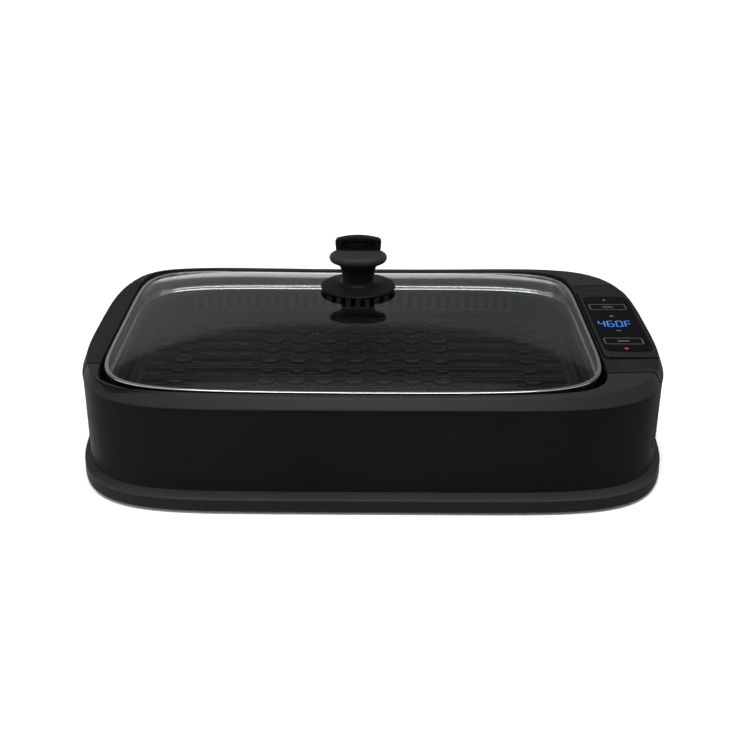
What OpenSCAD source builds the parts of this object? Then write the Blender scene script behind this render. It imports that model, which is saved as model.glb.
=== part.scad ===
// Countertop smokeless electric grill: a low moulded housing with a removable grill plate and drip tray,
// a blower that draws smoke through a slotted rear wall, and a lift-off domed glass lid with a steel rim.
// Millimetres, +Z up. The origin is on the table, under the middle of the housing. The front faces -Y.

/* [Housing] */
// Width across the crease, where the walls meet the bevelled deck
body_w = 543; // [500:1:600]
// Depth across the crease
body_d = 364; // [350:1:400]
// Exponent of the housing's outline along the front and rear: higher is flatter
body_power = 6.6; // [5.5:0.1:7.5]
// Exponent of the outline along the sides: lower bulges more
side_power = 3.4; // [3.2:0.1:4.2]
// Height of the crease above the table
crease_z = 99; // [94:1:110]
// Height of the bevel between the crease and the deck
bevel_h = 8; // [6:0.5:12]
// How far the bevel runs in at the sides
bevel_side = 4.5; // [3:0.5:8]
// How far the bevel runs in at the front and rear
bevel_front = 8.5; // [7:0.5:10]
// How much higher the deck is at its ends than in the middle
deck_rise = 4.5; // [0:0.5:6]
// How far the front wall leans in between the crease and the base
wall_lean = 9.5; // [4:0.5:10]
// Thickness of the housing's moulded wall
wall_t = 2.6; // [2:0.1:3.2]

/* [Base] */
// How far the base stands out past the crease at the sides
base_side = 3.8; // [1:0.1:8]
// How far the base stands out past the crease at the front and rear
base_front = 6; // [2:0.5:10]
// Height of the base's upright edge
base_h = 12; // [9:1:13]
// Thickness of the base's floor and ledge
base_t = 3; // [2.4:0.1:3.2]
// Height of the rubber feet
foot_h = 3; // [2:0.5:6]
// Diameter of a rubber foot
foot_d = 22; // [14:1:28]

/* [Lid] */
// Width of the two side decks together, beside the lid's rim
deck_sides = 88.6; // [84:0.1:104]
// Depth of the front and rear decks together, in front of and behind the lid's rim
deck_ends = 40; // [38:0.1:52]
// Exponent of the lid's rounded outline
lid_power = 6.6; // [5.5:0.1:6.8]
// Exponent of the well opening's outline, squarer than the lid's
opening_power = 7.4; // [7:0.1:7.6]
// Sideways place of the lid's middle, left of the control panel
lid_x = -17.9; // [-22:0.1:-16]
// Front-to-rear place of the lid's middle
lid_y = -0.9; // [-2:0.1:2]
// Gap between the lid's rim and the well opening
lid_gap = 1.6; // [1:0.1:1.8]
// Height of the steel band
band_h = 18.8; // [14:0.1:20]
// Thickness of the steel band
band_t = 1.2; // [0.8:0.1:1.6]
// Width of the band's rolled lips over and under the glass
lip_w = 2; // [2:0.1:4]
// Thickness of the glass
glass_t = 4; // [3:0.5:5]
// Rise of the glass dome above its edge
dome_h = 24.5; // [10:0.5:30]

/* [Knob] */
// Sideways place of the knob, from the lid's middle
knob_side = 3; // [-10:0.5:10]
// Front-to-rear place of the knob
knob_y = 40; // [0:1:60]
// Diameter of the knob's saucer
saucer_d = 75.6; // [60:0.1:90]
// Diameter of the knob's neck
neck_d = 32; // [26:1:38]
// Height from the saucer's underside to the top of the cap
knob_h = 36.3; // [30:0.1:50]
// Width of the cap
cap_w = 57.5; // [50:0.5:66]
// Front-to-rear size of the cap
cap_d = 43; // [40:0.5:50]
// Thickness of the cap
cap_t = 9; // [8:0.5:12]
// Width of the upright tab behind the cap
tab_w = 46.6; // [36:0.1:50]
// Height of the upright tab above the cap
tab_h = 14.3; // [12:0.1:24]
// Thickness of the upright tab
tab_t = 8; // [6:0.5:9]

/* [Well] */
// Height of the ledge that the lid rests on
ledge_z = 88; // [84:1:90]
// How far the well's wall stands in from the lid's rim
well_inset = 7; // [5:0.5:10]
// Wall thickness of the well liner
liner_t = 2; // [1.5:0.1:2.5]
// Height of the well's floor
well_floor_z = 33; // [32:1:35]
// Spacing of the rear slots
vent_pitch = 10.5; // [9:0.1:10.8]
// Width of a rear slot
vent_w = 5; // [3:0.1:6]
// Height of a rear slot
vent_h = 15.5; // [10:0.5:17]

/* [Grill plate] */
// Height of the plate's underside
plate_z = 55; // [54:0.5:58]
// Thickness of the plate between its ridges
plate_t = 4; // [3:0.5:5]
// Height of the ridges above the plate
ridge_h = 4; // [2:0.5:5]
// Width of a ridge at its foot
ridge_w = 3.6; // [2.5:0.1:4.5]
// Spacing of the rows of drain slots
row_pitch = 26.5; // [24:0.5:30]
// Spacing of the drain slots along a row
drain_pitch = 28.7; // [26:0.1:30]
// Length of a drain slot
drain_l = 12; // [8:0.5:14]
// Width of a drain slot
drain_w = 4.5; // [3:0.5:6]
// Gap between the plate and the well's wall
plate_gap = 1.5; // [1:0.1:3]
// Diameter of the heating element's sheath
element_d = 6.5; // [5:0.5:7]

/* [Drip tray] */
// How much narrower the drip tray is than the lid, with room for the plug beside it
tray_side = 92.2; // [90:0.1:136]
// How much shallower the drip tray is than the lid
tray_ends = 52.2; // [38:0.1:88]
// Height of the drip tray
tray_h = 12.5; // [9:0.5:13.5]
// Wall thickness of the drip tray
tray_t = 1.2; // [0.8:0.1:2]

/* [Blower] */
// Sideways place of the blower's shaft
fan_x = -30; // [-60:1:-10]
// Front-to-rear place of the blower's shaft
fan_y = 60; // [40:1:66]
// Diameter of the blower wheel
fan_d = 96; // [80:1:100]
// Number of blades
blade_count = 28; // [12:1:36]
// Diameter of the motor
motor_d = 32; // [26:1:34]
// Diameter of the motor's shaft
shaft_d = 3; // [2:0.5:4]
// Width of the blower's outlet
outlet_w = 38; // [24:1:44]

/* [Controls] */
// Width of the control panel
panel_w = 45; // [36:1:47]
// Length of the control panel
panel_l = 150; // [110:1:156]
// Front-to-rear place of the panel's middle
panel_y = -2.5; // [-12:0.5:4]
// Corner radius of the control panel
panel_r = 9; // [4:0.5:14]
// How far the panel's surround stands above its seat
surround_h = 4; // [3:0.5:5]

/* [Hidden] */

steps = 96;          // points round each moulded outline
seat = 0.2;          // gap under a lift-off piece that rests on another
seam = 0.25;         // half the gap at a seam between two mouldings
eps = 0.1;           // how far a cut runs past the face it opens
$fn = 64;

lid_w = body_w - deck_sides;
lid_d = body_d - deck_ends;
deck_z = crease_z + bevel_h;
floor_z = foot_h + base_t;
shell_z = foot_h + base_h;
foot_a = body_w / 2 - 0.5;
foot_b = body_d / 2 - wall_lean;
deck_a = body_w / 2 - bevel_side;
deck_b = body_d / 2 - bevel_front;
base_a = body_w / 2 + base_side;
base_b = body_d / 2 + base_front;
return_t = 1.2;                       // thickness of the wall that turns down into the well opening
liner_top = deck_z - 7;
rim_z = ledge_z + seat;
rim_top = rim_z + band_h;
rim_rise = 3.5;                       // the rim is higher at its ends, as the deck is
glass_edge = rim_top - 0.8 - 0.1 - glass_t;
knob_x = lid_x + knob_side;
glass_fit = 0.2;
dome_power = 2.3;

// ---------- outlines and lofts ----------

function spow(v, p) = sign(v) * pow(abs(v), p);

// A superellipse of half sizes a and b, |x/a|^p + |y/b|^q = 1
function outline(a, b, p, q, cx = 0, cy = 0) =
    [for (i = [0 : steps - 1]) let (t = 360 * i / steps)
        [cx + a * spow(cos(t), 2 / p), cy + b * spow(sin(t), 2 / q)]];

// The lid's outline and the well opening's, grown by m
function lid_line(m) = outline(lid_w / 2 + m, lid_d / 2 + m, lid_power, lid_power, lid_x, lid_y);
function opening_line(m) =
    outline(lid_w / 2 + lid_gap + m, lid_d / 2 + lid_gap + m, opening_power, opening_power, lid_x, lid_y);

// The housing's outline at the crease, the deck's edge, the foot of the wall and the base, drawn in by m
function body_line(a, b, m) = outline(a - m, b - m, body_power, side_power);
function crease_line(m) = body_line(body_w / 2, body_d / 2, m);
function deck_line(m) = body_line(deck_a, deck_b, m);
function foot_line(m) = body_line(foot_a, foot_b, m);
function base_line(m) = body_line(base_a, base_b, m);

// Lifts an outline to height z, bowed up by rise at half width ref
function ring(line, z, rise = 0, ref = 1) = [for (p = line) [p.x, p.y, z + rise * pow(p.x / ref, 2)]];
function deck_ring(line, z) = ring(line, z, deck_rise, deck_a);

// Skins a stack of rings. A closed stack joins its last ring to its first.
module loft(rings, closed = false) {
    n = len(rings[0]);
    m = len(rings);
    sides = [for (k = [0 : closed ? m - 1 : m - 2], i = [0 : n - 1])
        let (j = (i + 1) % n, k2 = (k + 1) % m)
        each [[k * n + i, k2 * n + i, k2 * n + j], [k * n + i, k2 * n + j, k * n + j]]];
    caps = closed ? [] : [[for (i = [0 : n - 1]) i], [for (i = [n - 1 : -1 : 0]) (m - 1) * n + i]];
    polyhedron([for (r = rings) each r], concat(sides, caps), convexity = 6);
}

module prism(line, z0, z1) {
    translate([0, 0, z0]) linear_extrude(z1 - z0) polygon(line);
}

// A wall between two outlines
module wall(outer, inner, z0, z1) {
    translate([0, 0, z0]) linear_extrude(z1 - z0) difference() {
        polygon(outer);
        polygon(inner);
    }
}

module block(lo, hi) {
    translate(lo) cube(hi - lo);
}

module peg(x, y, z0, z1, d) {
    translate([x, y, z0]) cylinder(d = d, h = z1 - z0);
}

module rounded_rect(w, l, r) {
    square([w - 2 * r, l], center = true);
    square([w, l - 2 * r], center = true);
    for (sx = [-1, 1], sy = [-1, 1]) translate([sx * (w / 2 - r), sy * (l / 2 - r)]) circle(r);
}

// ---------- housing ----------

// The moulded skin: up the wall, over the bevel and deck, down into the well opening and back inside
module shell_skin() {
    loft([
        ring(foot_line(0), shell_z),
        ring(crease_line(0), crease_z),
        deck_ring(deck_line(0), deck_z),
        deck_ring(opening_line(0), deck_z),
        ring(opening_line(0), liner_top),
        ring(opening_line(return_t), liner_top),
        deck_ring(opening_line(return_t), deck_z - wall_t),
        deck_ring(deck_line(0.8), deck_z - wall_t),
        ring(crease_line(wall_t), crease_z - 1.5),
        ring(foot_line(wall_t), shell_z)
    ], closed = true);
}

deck_front_left = -108;               // seam between the left side deck and the shell
deck_front_right = -122;
deck_rear = 112;
deck_foot_z = 36;                     // how far down the side wall the side decks wrap
top_z = deck_z + deck_rise + 5;

module left_region(g) {
    block([-body_w, deck_front_left + g, deck_foot_z + g], [lid_x - lid_w / 2 + 50, deck_rear - g, top_z]);
}

module right_region(g) {
    block([lid_x + lid_w / 2 - 50, deck_front_right + g, deck_foot_z + g], [body_w, deck_rear - g, top_z]);
}

boss_d = 9;
screw_d = 3;
boss_top = 36;
boss_in = 2.2;
boss_x = foot_a * 0.56;

// How far the middle of a boss at x stands from the housing's middle, against the front or rear wall
function boss_y(x) = (foot_b - wall_t - boss_in) * pow(1 - pow(abs(x) / foot_a, body_power), 1 / side_power);

exhaust_x = fan_x + fan_d / 2 + 4 + outlet_w / 2;
exhaust_w = 68;
exhaust_z0 = 17.5;
exhaust_z1 = 31;
inlet_x = foot_a * 0.56;
inlet_z = 42;
inlet_w = 30;
inlet_h = 24;
rear_boss_x = (exhaust_x + exhaust_w / 2 + inlet_x - inlet_w / 2) / 2 - 10;
boss_xy = [
    for (x = [-boss_x, boss_x]) [x, -boss_y(x)],
    for (x = [-boss_x, rear_boss_x]) [x, boss_y(x)],
    for (s = [-1, 1]) [s * (foot_a - wall_t - boss_in), 0]
];

module body_shell() {
    color([0.10, 0.10, 0.11]) difference() {
        union() {
            difference() {
                shell_skin();
                left_region(-seam);
                right_region(-seam);
                block([exhaust_x - exhaust_w / 2, foot_b - 15, exhaust_z0],
                      [exhaust_x + exhaust_w / 2, foot_b + 15, exhaust_z1]);
                block([inlet_x - inlet_w / 2, foot_b - 15, inlet_z - inlet_h / 2],
                      [inlet_x + inlet_w / 2, foot_b + 15, inlet_z + inlet_h / 2]);
            }
            for (p = boss_xy) peg(p.x, p.y, floor_z, boss_top, boss_d);
        }
        for (p = boss_xy) peg(p.x, p.y, floor_z - eps, boss_top - 4, screw_d + 0.1);
    }
}

module left_deck() {
    color([0.15, 0.15, 0.16]) intersection() {
        shell_skin();
        left_region(seam);
    }
}

// The surround sits in a flat-floored pocket in the right side deck
surround_y0 = -90.5;
surround_y1 = 91;
surround_x0 = lid_x + lid_w / 2 + lid_gap + return_t + 1.2;
surround_z = deck_z + 1.2;

module surround_plan(g) {
    intersection() {
        polygon(deck_line(1 + g));
        translate([surround_x0 + g + 50, (surround_y0 + surround_y1) / 2])
            rounded_rect(100, surround_y1 - surround_y0 - 2 * g, 6);
    }
}

module right_deck() {
    color([0.15, 0.15, 0.16]) difference() {
        union() {
            intersection() {
                shell_skin();
                right_region(seam);
            }
            translate([0, 0, surround_z - 3]) linear_extrude(3) surround_plan(-0.6);
            for (p = board_posts) peg(p.x, p.y, board_z + board_t, surround_z - 1, 7);
        }
        translate([0, 0, surround_z]) linear_extrude(20) surround_plan(-0.2);
        block([panel_x - display_w / 2 - 0.3, display_y - display_l / 2 - 0.3, surround_z - 5],
              [panel_x + display_w / 2 + 0.3, display_y + display_l / 2 + 0.3, surround_z + eps]);
    }
}

// ---------- controls ----------

panel_x = surround_x0 + 3 + panel_w / 2;
panel_t = 1.6;
panel_seat = surround_z + surround_h - 1.2;
board_t = 1.6;
board_z = surround_z - 8;
board_w = 40;
display_w = 32;
display_l = 24;
display_y = panel_y - 2;
board_posts = [for (s = [-1, 1]) [panel_x, panel_y + s * (panel_l / 2 - 14)]];

module panel_plan(g) {
    intersection() {
        translate([panel_x, panel_y]) rounded_rect(panel_w + 2 * g, panel_l + 2 * g, panel_r);
        polygon(deck_line(2.5 - g));
    }
}

rib_pitch = 5;
rib_groove = 1.2;
rib_depth = 0.4;

module panel_surround() {
    color([0.13, 0.13, 0.14]) difference() {
        translate([0, 0, surround_z]) linear_extrude(surround_h) surround_plan(0);
        for (y = [ceil(surround_y0 / rib_pitch + 1) * rib_pitch : rib_pitch : surround_y1 - rib_pitch])
            block([surround_x0 - 1, y - rib_groove / 2, surround_z + surround_h - rib_depth],
                  [body_w / 2, y + rib_groove / 2, surround_z + surround_h + eps]);
        translate([0, 0, panel_seat]) linear_extrude(20) panel_plan(0.2);
        translate([0, 0, surround_z - eps]) linear_extrude(20) panel_plan(-3);
    }
}

module control_panel() {
    color([0.05, 0.05, 0.06]) translate([0, 0, panel_seat]) linear_extrude(panel_t) panel_plan(0);
}

module display_module() {
    color([0.02, 0.05, 0.14])
        block([panel_x - display_w / 2, display_y - display_l / 2, board_z + board_t],
              [panel_x + display_w / 2, display_y + display_l / 2, panel_seat]);
}

module touch_board() {
    color([0.05, 0.30, 0.14]) difference() {
        block([panel_x - board_w / 2, panel_y - panel_l / 2 + 6, board_z],
              [panel_x + board_w / 2, panel_y + panel_l / 2 - 6, board_z + board_t]);
        for (p = board_posts) peg(p.x, p.y, board_z - eps, board_z + board_t + eps, 3.2);
    }
}

power_x = (lid_x + lid_w / 2 - well_inset + foot_a - wall_t) / 2;
power_z = floor_z + 8;
power_w = 44;
power_l = 130;

module power_board() {
    color([0.05, 0.30, 0.14]) {
        block([power_x - power_w / 2, -power_l / 2, power_z], [power_x + power_w / 2, power_l / 2, power_z + board_t]);
        block([power_x - 16, -52, power_z + board_t], [power_x + 16, -24, power_z + board_t + 22]);
        block([power_x - 14, -12, power_z + board_t], [power_x + 12, 12, power_z + board_t + 16]);
        for (s = [-1, 1]) peg(power_x + s * 10, 30, power_z + board_t - eps, power_z + board_t + 20, 12);
        block([power_x - 18, 44, power_z + board_t], [power_x + 18, 58, power_z + board_t + 12]);
    }
}

// ---------- base ----------

lip_t = 2.2;
post_x = lid_w / 2 - 61;
post_y = lid_d / 2 - 54;
post_xy = [
    for (s = [-1, 1]) each [[lid_x - post_x, lid_y + s * post_y], [lid_x + post_x, lid_y + s * post_y]],
    [lid_x, lid_y - post_y - 20], [lid_x - post_x, lid_y]
];

module base_tray() {
    color([0.09, 0.09, 0.10]) difference() {
        union() {
            prism(base_line(0), foot_h, floor_z);
            wall(base_line(0), base_line(base_t), foot_h, shell_z);
            wall(base_line(0), foot_line(wall_t + lip_t + 0.2), shell_z - base_t, shell_z);
            wall(foot_line(wall_t + 0.2), foot_line(wall_t + lip_t + 0.2), shell_z - base_t, shell_z + 6);
            for (p = post_xy) peg(p.x, p.y, floor_z - eps, well_floor_z - liner_t, 10);
            for (s = [-1, 1], y = [-55, 55]) peg(power_x + s * 16, y, floor_z - eps, power_z, 7);
        }
        for (p = boss_xy) {
            peg(p.x, p.y, floor_z, shell_z + 10, boss_d + 0.6);
            peg(p.x, p.y, foot_h - eps, floor_z + eps, screw_d + 0.6);
            peg(p.x, p.y, foot_h - eps, foot_h + 1.6, 6.4);
        }
        block([exhaust_x - exhaust_w / 2 - 2, foot_b - 30, exhaust_z0 - 2],
              [exhaust_x + exhaust_w / 2 + 2, foot_b, exhaust_z0 + 10]);
    }
}

module rubber_feet() {
    color([0.07, 0.07, 0.07])
        for (sx = [-1, 1], sy = [-1, 1])
            translate([sx * (base_a - 48), sy * (base_b - 44), 0])
                rotate_extrude() polygon([[0, 0], [foot_d / 2 - 1, 0], [foot_d / 2, foot_h], [0, foot_h]]);
}

module base_screws() {
    color([0.6, 0.6, 0.62])
        for (p = boss_xy) {
            peg(p.x, p.y, foot_h + 0.2, foot_h + 1.6, 6);
            peg(p.x, p.y, foot_h + 1.5, boss_top - 8, screw_d);
        }
}

// ---------- rear openings ----------

module exhaust_grille() {
    slats = 12;
    pitch = (exhaust_w - 6) / slats;
    color([0.09, 0.09, 0.10]) difference() {
        block([exhaust_x - exhaust_w / 2 + seam, foot_b - wall_t - 1, exhaust_z0 + seam],
              [exhaust_x + exhaust_w / 2 - seam, foot_b + 0.6, exhaust_z1 - seam]);
        for (i = [0 : slats - 1])
            translate([exhaust_x - exhaust_w / 2 + 3 + pitch * (i + 0.5), foot_b, (exhaust_z0 + exhaust_z1) / 2])
                cube([pitch - 1.8, 20, exhaust_z1 - exhaust_z0 - 5], center = true);
    }
}

inlet_depth = 13;
inlet_y = foot_b + 1;

module power_inlet() {
    color([0.08, 0.08, 0.08]) difference() {
        union() {
            block([inlet_x - inlet_w / 2 + seam, inlet_y - inlet_depth, inlet_z - inlet_h / 2 + seam],
                  [inlet_x + inlet_w / 2 - seam, inlet_y, inlet_z + inlet_h / 2 - seam]);
        }
        block([inlet_x - inlet_w / 2 + 3, inlet_y - inlet_depth + 2, inlet_z - inlet_h / 2 + 3],
              [inlet_x + inlet_w / 2 - 3, inlet_y + 1, inlet_z + inlet_h / 2 - 3]);
    }
    color([0.75, 0.75, 0.75])
        for (x = [-7, 0, 7])
            translate([inlet_x + x, 0, inlet_z + (x == 0 ? 2.5 : -2)])
                block([-1, inlet_y - inlet_depth + 2 - eps, -2], [1, inlet_y - 3, 2]);
}

// ---------- well ----------

well_line = lid_line(-well_inset);
liner_line = lid_line(-well_inset + liner_t);
vent_count = floor((lid_w - 98) / vent_pitch);
vent_x = lid_x - (vent_count - 1) / 2 * vent_pitch - 4;
vent_z = ledge_z - liner_t - 3 - vent_h;
vent_l = vent_count * vent_pitch;
shelf_w = 4;

module well_liner() {
    color([0.16, 0.16, 0.17]) difference() {
        union() {
            wall(opening_line(liner_t), opening_line(0), ledge_z - eps, liner_top);
            wall(opening_line(liner_t), well_line, ledge_z - liner_t, ledge_z);
            wall(liner_line, well_line, well_floor_z - eps, ledge_z);
            prism(liner_line, well_floor_z - liner_t, well_floor_z);
            wall(lid_line(-well_inset + 0.5), lid_line(-well_inset - shelf_w), plate_z - seat - 2, plate_z - seat);
        }
        block([vent_x - vent_pitch / 2 - 2, lid_y + 60, vent_z - 2],
              [vent_x + vent_l - vent_pitch / 2 + 2, lid_y + lid_d, vent_z + vent_h + 1.6]);
    }
}

module vent_grille() {
    grille_t = 2.2;
    color([0.14, 0.14, 0.15]) difference() {
        intersection() {
            wall(lid_line(-well_inset + liner_t + grille_t), liner_line, vent_z - 5, ledge_z - liner_t - seat);
            block([vent_x - vent_pitch / 2 - 8, lid_y + 60, 0],
                  [vent_x + vent_l - vent_pitch / 2 + 8, lid_y + lid_d, top_z]);
        }
        for (i = [0 : vent_count - 1])
            block([vent_x + i * vent_pitch - vent_w / 2, lid_y + 60, vent_z],
                  [vent_x + i * vent_pitch + vent_w / 2, lid_y + lid_d, vent_z + vent_h]);
    }
}

// The plate's plug drops into this socket when the plate is put in
plug_x = lid_x + lid_w / 2 - well_inset - 32;
plug_y = lid_y;
plug_w = 28;
plug_l = 42;
pin_d = 4;
pin_gap = 0.4;
pin_y = 11;
socket_top = well_floor_z + 6;
block_z = socket_top + 2;
sensor_d = 6;

module socket_block() {
    color([0.75, 0.72, 0.65]) difference() {
        block([plug_x - plug_w / 2, plug_y - plug_l / 2, well_floor_z], [plug_x + plug_w / 2, plug_y + plug_l / 2, socket_top]);
        for (s = [-1, 1]) peg(plug_x, plug_y + s * pin_y, well_floor_z + 1, socket_top + eps, pin_d + 2 * pin_gap);
    }
}

module plate_sensor() {
    color([0.75, 0.75, 0.77]) peg(plug_x, plug_y, socket_top, plate_z - 0.3, sensor_d);
}

// ---------- blower ----------

hub_d = motor_d + 8;
wheel_z = floor_z + 3;
wheel_h = 10;
housing_t = 1.5;
cover_z = wheel_z + wheel_h + 2;
spiral_r0 = fan_d / 2 + 4;

// The blower's wall moves out by the outlet's width in one turn
function spiral(g) = [for (i = [0 : 72]) let (t = 5 * i, r = spiral_r0 + g + outlet_w * t / 360)
    [fan_x + r * cos(t), fan_y + r * sin(t)]];
outlet_y = foot_b - wall_t - 9;

module scroll_plan(g) {
    polygon(spiral(g));
    translate([fan_x + spiral_r0 - g, fan_y]) square([outlet_w + 2 * g, outlet_y - fan_y]);
}

module fan_housing() {
    color([0.2, 0.2, 0.21]) {
        translate([0, 0, floor_z]) linear_extrude(housing_t) scroll_plan(2);
        translate([0, 0, floor_z + housing_t - eps]) linear_extrude(cover_z - floor_z - housing_t + eps) difference() {
            scroll_plan(2);
            scroll_plan(0);
            translate([fan_x + spiral_r0, outlet_y - 3]) square([outlet_w, 10]);
        }
    }
}

module fan_cover() {
    color([0.2, 0.2, 0.21]) difference() {
        union() {
            translate([0, 0, cover_z]) linear_extrude(housing_t) scroll_plan(2);
            peg(fan_x, fan_y, cover_z, cover_z + 3.5, fan_d * 0.72 + 4);
        }
        peg(fan_x, fan_y, cover_z - eps, cover_z + 10, fan_d * 0.72);
    }
}

motor_top = wheel_z + wheel_h - 4.5;
running = 0.05;

module fan_motor() {
    color([0.55, 0.55, 0.57]) difference() {
        union() {
            peg(fan_x, fan_y, floor_z + housing_t, motor_top - 1.5, motor_d);
            peg(fan_x, fan_y, motor_top - 1.6, motor_top, 9);
        }
        peg(fan_x, fan_y, floor_z + housing_t + 1.5, motor_top + eps, shaft_d + 2 * running);
    }
}

module fan_shaft() {
    color([0.8, 0.8, 0.82]) peg(fan_x, fan_y, floor_z + housing_t + 1.7, wheel_z + wheel_h + 1, shaft_d);
}

// One forward-curved blade, an arc between two radii
module blade() {
    r0 = fan_d / 2 - 13;
    r1 = fan_d / 2 - 0.6;
    lean = 9;
    arc = [for (i = [0 : 6]) let (f = i / 6, r = r0 + (r1 - r0) * f, t = lean * f * f) [r * cos(t), r * sin(t)]];
    back = [for (i = [6 : -1 : 0]) let (f = i / 6, r = r0 + (r1 - r0) * f, t = lean * f * f + 60 / r) [r * cos(t), r * sin(t)]];
    polygon(concat(arc, back));
}

module fan_wheel() {
    color([0.12, 0.12, 0.13]) translate([fan_x, fan_y, 0]) difference() {
        union() {
            translate([0, 0, wheel_z]) linear_extrude(1.5) difference() {
                circle(d = fan_d);
                circle(d = hub_d - 2.4);
            }
            translate([0, 0, wheel_z]) linear_extrude(wheel_h) difference() {
                circle(d = hub_d);
                circle(d = hub_d - 2.4);
            }
            translate([0, 0, wheel_z + wheel_h - 2]) cylinder(d = hub_d, h = 2);
            translate([0, 0, motor_top + 0.5]) cylinder(d = 9, h = wheel_z + wheel_h - motor_top - 0.5);
            translate([0, 0, wheel_z + 1.4]) linear_extrude(wheel_h - 1.4)
                for (i = [0 : blade_count - 1]) rotate(360 * i / blade_count) blade();
            translate([0, 0, wheel_z + wheel_h - 1.2]) linear_extrude(1.2) difference() {
                circle(d = fan_d);
                circle(d = fan_d - 6);
            }
        }
        cylinder(d = shaft_d + 0.02, h = 100);
    }
}

// ---------- drip tray ----------

tray_w = lid_w - tray_side;
tray_d = lid_d - tray_ends;
tray_x = plug_x - plug_w / 2 - 6 - tray_w / 2;
tray_z = well_floor_z + seat;
tray_power = 7;

function tray_line(m) = outline(tray_w / 2 + m, tray_d / 2 + m, tray_power, tray_power, tray_x, lid_y);

module drip_tray() {
    color([0.45, 0.45, 0.46]) {
        prism(tray_line(-4), tray_z, tray_z + tray_t);
        loft([
            ring(tray_line(-4), tray_z), ring(tray_line(-1.5), tray_z + tray_h - tray_t),
            ring(tray_line(0), tray_z + tray_h - tray_t), ring(tray_line(0), tray_z + tray_h),
            ring(tray_line(-1.5 - tray_t), tray_z + tray_h), ring(tray_line(-4 - tray_t), tray_z)
        ], closed = true);
    }
}

// ---------- grill plate ----------

plate_top = plate_z + plate_t;
plate_line = lid_line(-well_inset - plate_gap);
plate_rim = 4;
field_w = lid_w - 2 * (well_inset + plate_gap + plate_rim + 7);
field_d = lid_d - 2 * (well_inset + plate_gap + plate_rim + 5);
rows = floor(field_d / 2 / row_pitch);
row_y0 = lid_y + 14.9;
drain_x = [
    for (i = [-3.5 : 3.5]) [i * drain_pitch, drain_l],
    for (s = [-1, 1]) [s * (3.5 * drain_pitch + 23.5), drain_w],
    for (s = [-1, 1], e = [162.5, 186.5]) [s * e, drain_l]
];

// A ridge along X with a narrowed top
module ridge(y, h, half) {
    translate([lid_x - half, y, plate_top - eps]) rotate([90, 0, 90])
        linear_extrude(2 * half)
            polygon([[-ridge_w / 2, 0], [ridge_w / 2, 0], [ridge_w / 4, h + eps], [-ridge_w / 4, h + eps]]);
}

// How far a ridge at y can run before it meets the plate's rounded corner
function half_run(y) =
    let (v = min(0.999, abs(y - lid_y) / (field_d / 2))) field_w / 2 * pow(1 - pow(v, lid_power), 1 / lid_power);

// The scalloped front of a ridge: round lobes between the drain slots
module lobes(y, r, h) {
    for (i = [-3 : 3]) lobe(lid_x + i * drain_pitch, y, r, h);
    for (s = [-1, 1]) lobe(lid_x + s * 174.5, y, r, h);
}

module lobe(x, y, r, h) {
    translate([x, y, plate_top - eps]) linear_extrude(h + eps) intersection() {
        circle(r, $fn = 32);
        translate([-r, -2 * r]) square([2 * r, 2 * r]);
    }
}

module grill_plate() {
    color([0.12, 0.12, 0.12]) difference() {
        union() {
            prism(plate_line, plate_z, plate_top);
            wall(plate_line, lid_line(-well_inset - plate_gap - plate_rim), plate_z, plate_top + 6);
            for (k = [-rows : rows]) let (y = row_y0 + k * row_pitch) {
                if (abs(y + 8.8 - lid_y) < field_d / 2) {
                    ridge(y + 8.8, ridge_h, half_run(y + 8.8));
                    if (abs(y + 2 - lid_y) < field_d / 2 - 12) lobes(y + 8.8, k % 2 == 0 ? 9 : 7, ridge_h - 1);
                }
                if (abs(y + 17.6 - lid_y) < field_d / 2) ridge(y + 17.6, ridge_h - 1, half_run(y + 17.6));
            }
        }
        for (k = [-rows : rows], d = drain_x) let (y = row_y0 + k * row_pitch)
            if (abs(y - lid_y) < field_d / 2 - 4 && abs(d[0]) + d[1] / 2 < half_run(y) - 2)
                drain(lid_x + d[0], y, d[1]);
    }
}

module drain(x, y, l) {
    translate([x, y, plate_z - 1]) linear_extrude(plate_t + 1 + eps) {
        square([max(l - drain_w, 0.1), drain_w], center = true);
        for (s = [-1, 1]) translate([s * (l - drain_w) / 2, 0]) circle(d = drain_w, $fn = 24);
    }
}

// The sheathed element: three hairpin runs under the plate, its ends in the terminal block
element_z = plate_z - element_d / 2;
run_x0 = lid_x - lid_w / 2 + 66;
run_x1 = plug_x - plug_w / 2 - 28;
run_y = [22, 60, 100];                // the runs on each side of the plug
link_r = 20;                          // bend that leads to the run across the far end

module tube_x(x0, x1, y) {
    translate([x0, plug_y + y, element_z]) rotate([0, 90, 0]) cylinder(d = element_d, h = x1 - x0);
}

module bend(x, y0, y1, side) {
    r = (y1 - y0) / 2;
    translate([x, plug_y + (y0 + y1) / 2, element_z])
        rotate(side > 0 ? -90 : 90) rotate_extrude(angle = 180) translate([r, 0]) circle(d = element_d);
}

module heating_element() {
    link_x = run_x0 - (run_y[2] - run_y[1]) / 2 - element_d - link_r;
    color([0.35, 0.35, 0.36]) {
        for (s = [-1, 1]) {
            tube_x(run_x0, plug_x - plug_w / 2, s * run_y[0]);
            tube_x(run_x0, run_x1, s * run_y[1]);
            tube_x(link_x + link_r, run_x1, s * run_y[2]);
            bend(run_x1, min(s * run_y[1], s * run_y[2]), max(s * run_y[1], s * run_y[2]), 1);
            bend(run_x0, min(s * run_y[0], s * run_y[1]), max(s * run_y[0], s * run_y[1]), -1);
            translate([link_x + link_r, plug_y + s * (run_y[2] - link_r), element_z]) rotate(s > 0 ? 90 : 180)
                rotate_extrude(angle = 90) translate([link_r, 0]) circle(d = element_d);
        }
        translate([link_x, plug_y + run_y[2] - link_r, element_z]) rotate([90, 0, 0])
            cylinder(d = element_d, h = 2 * (run_y[2] - link_r));
    }
}

clip_t = 1.2;
clip_x = [for (f = [0.15, 0.85]) run_x0 + f * (run_x1 - run_x0)];

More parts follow.
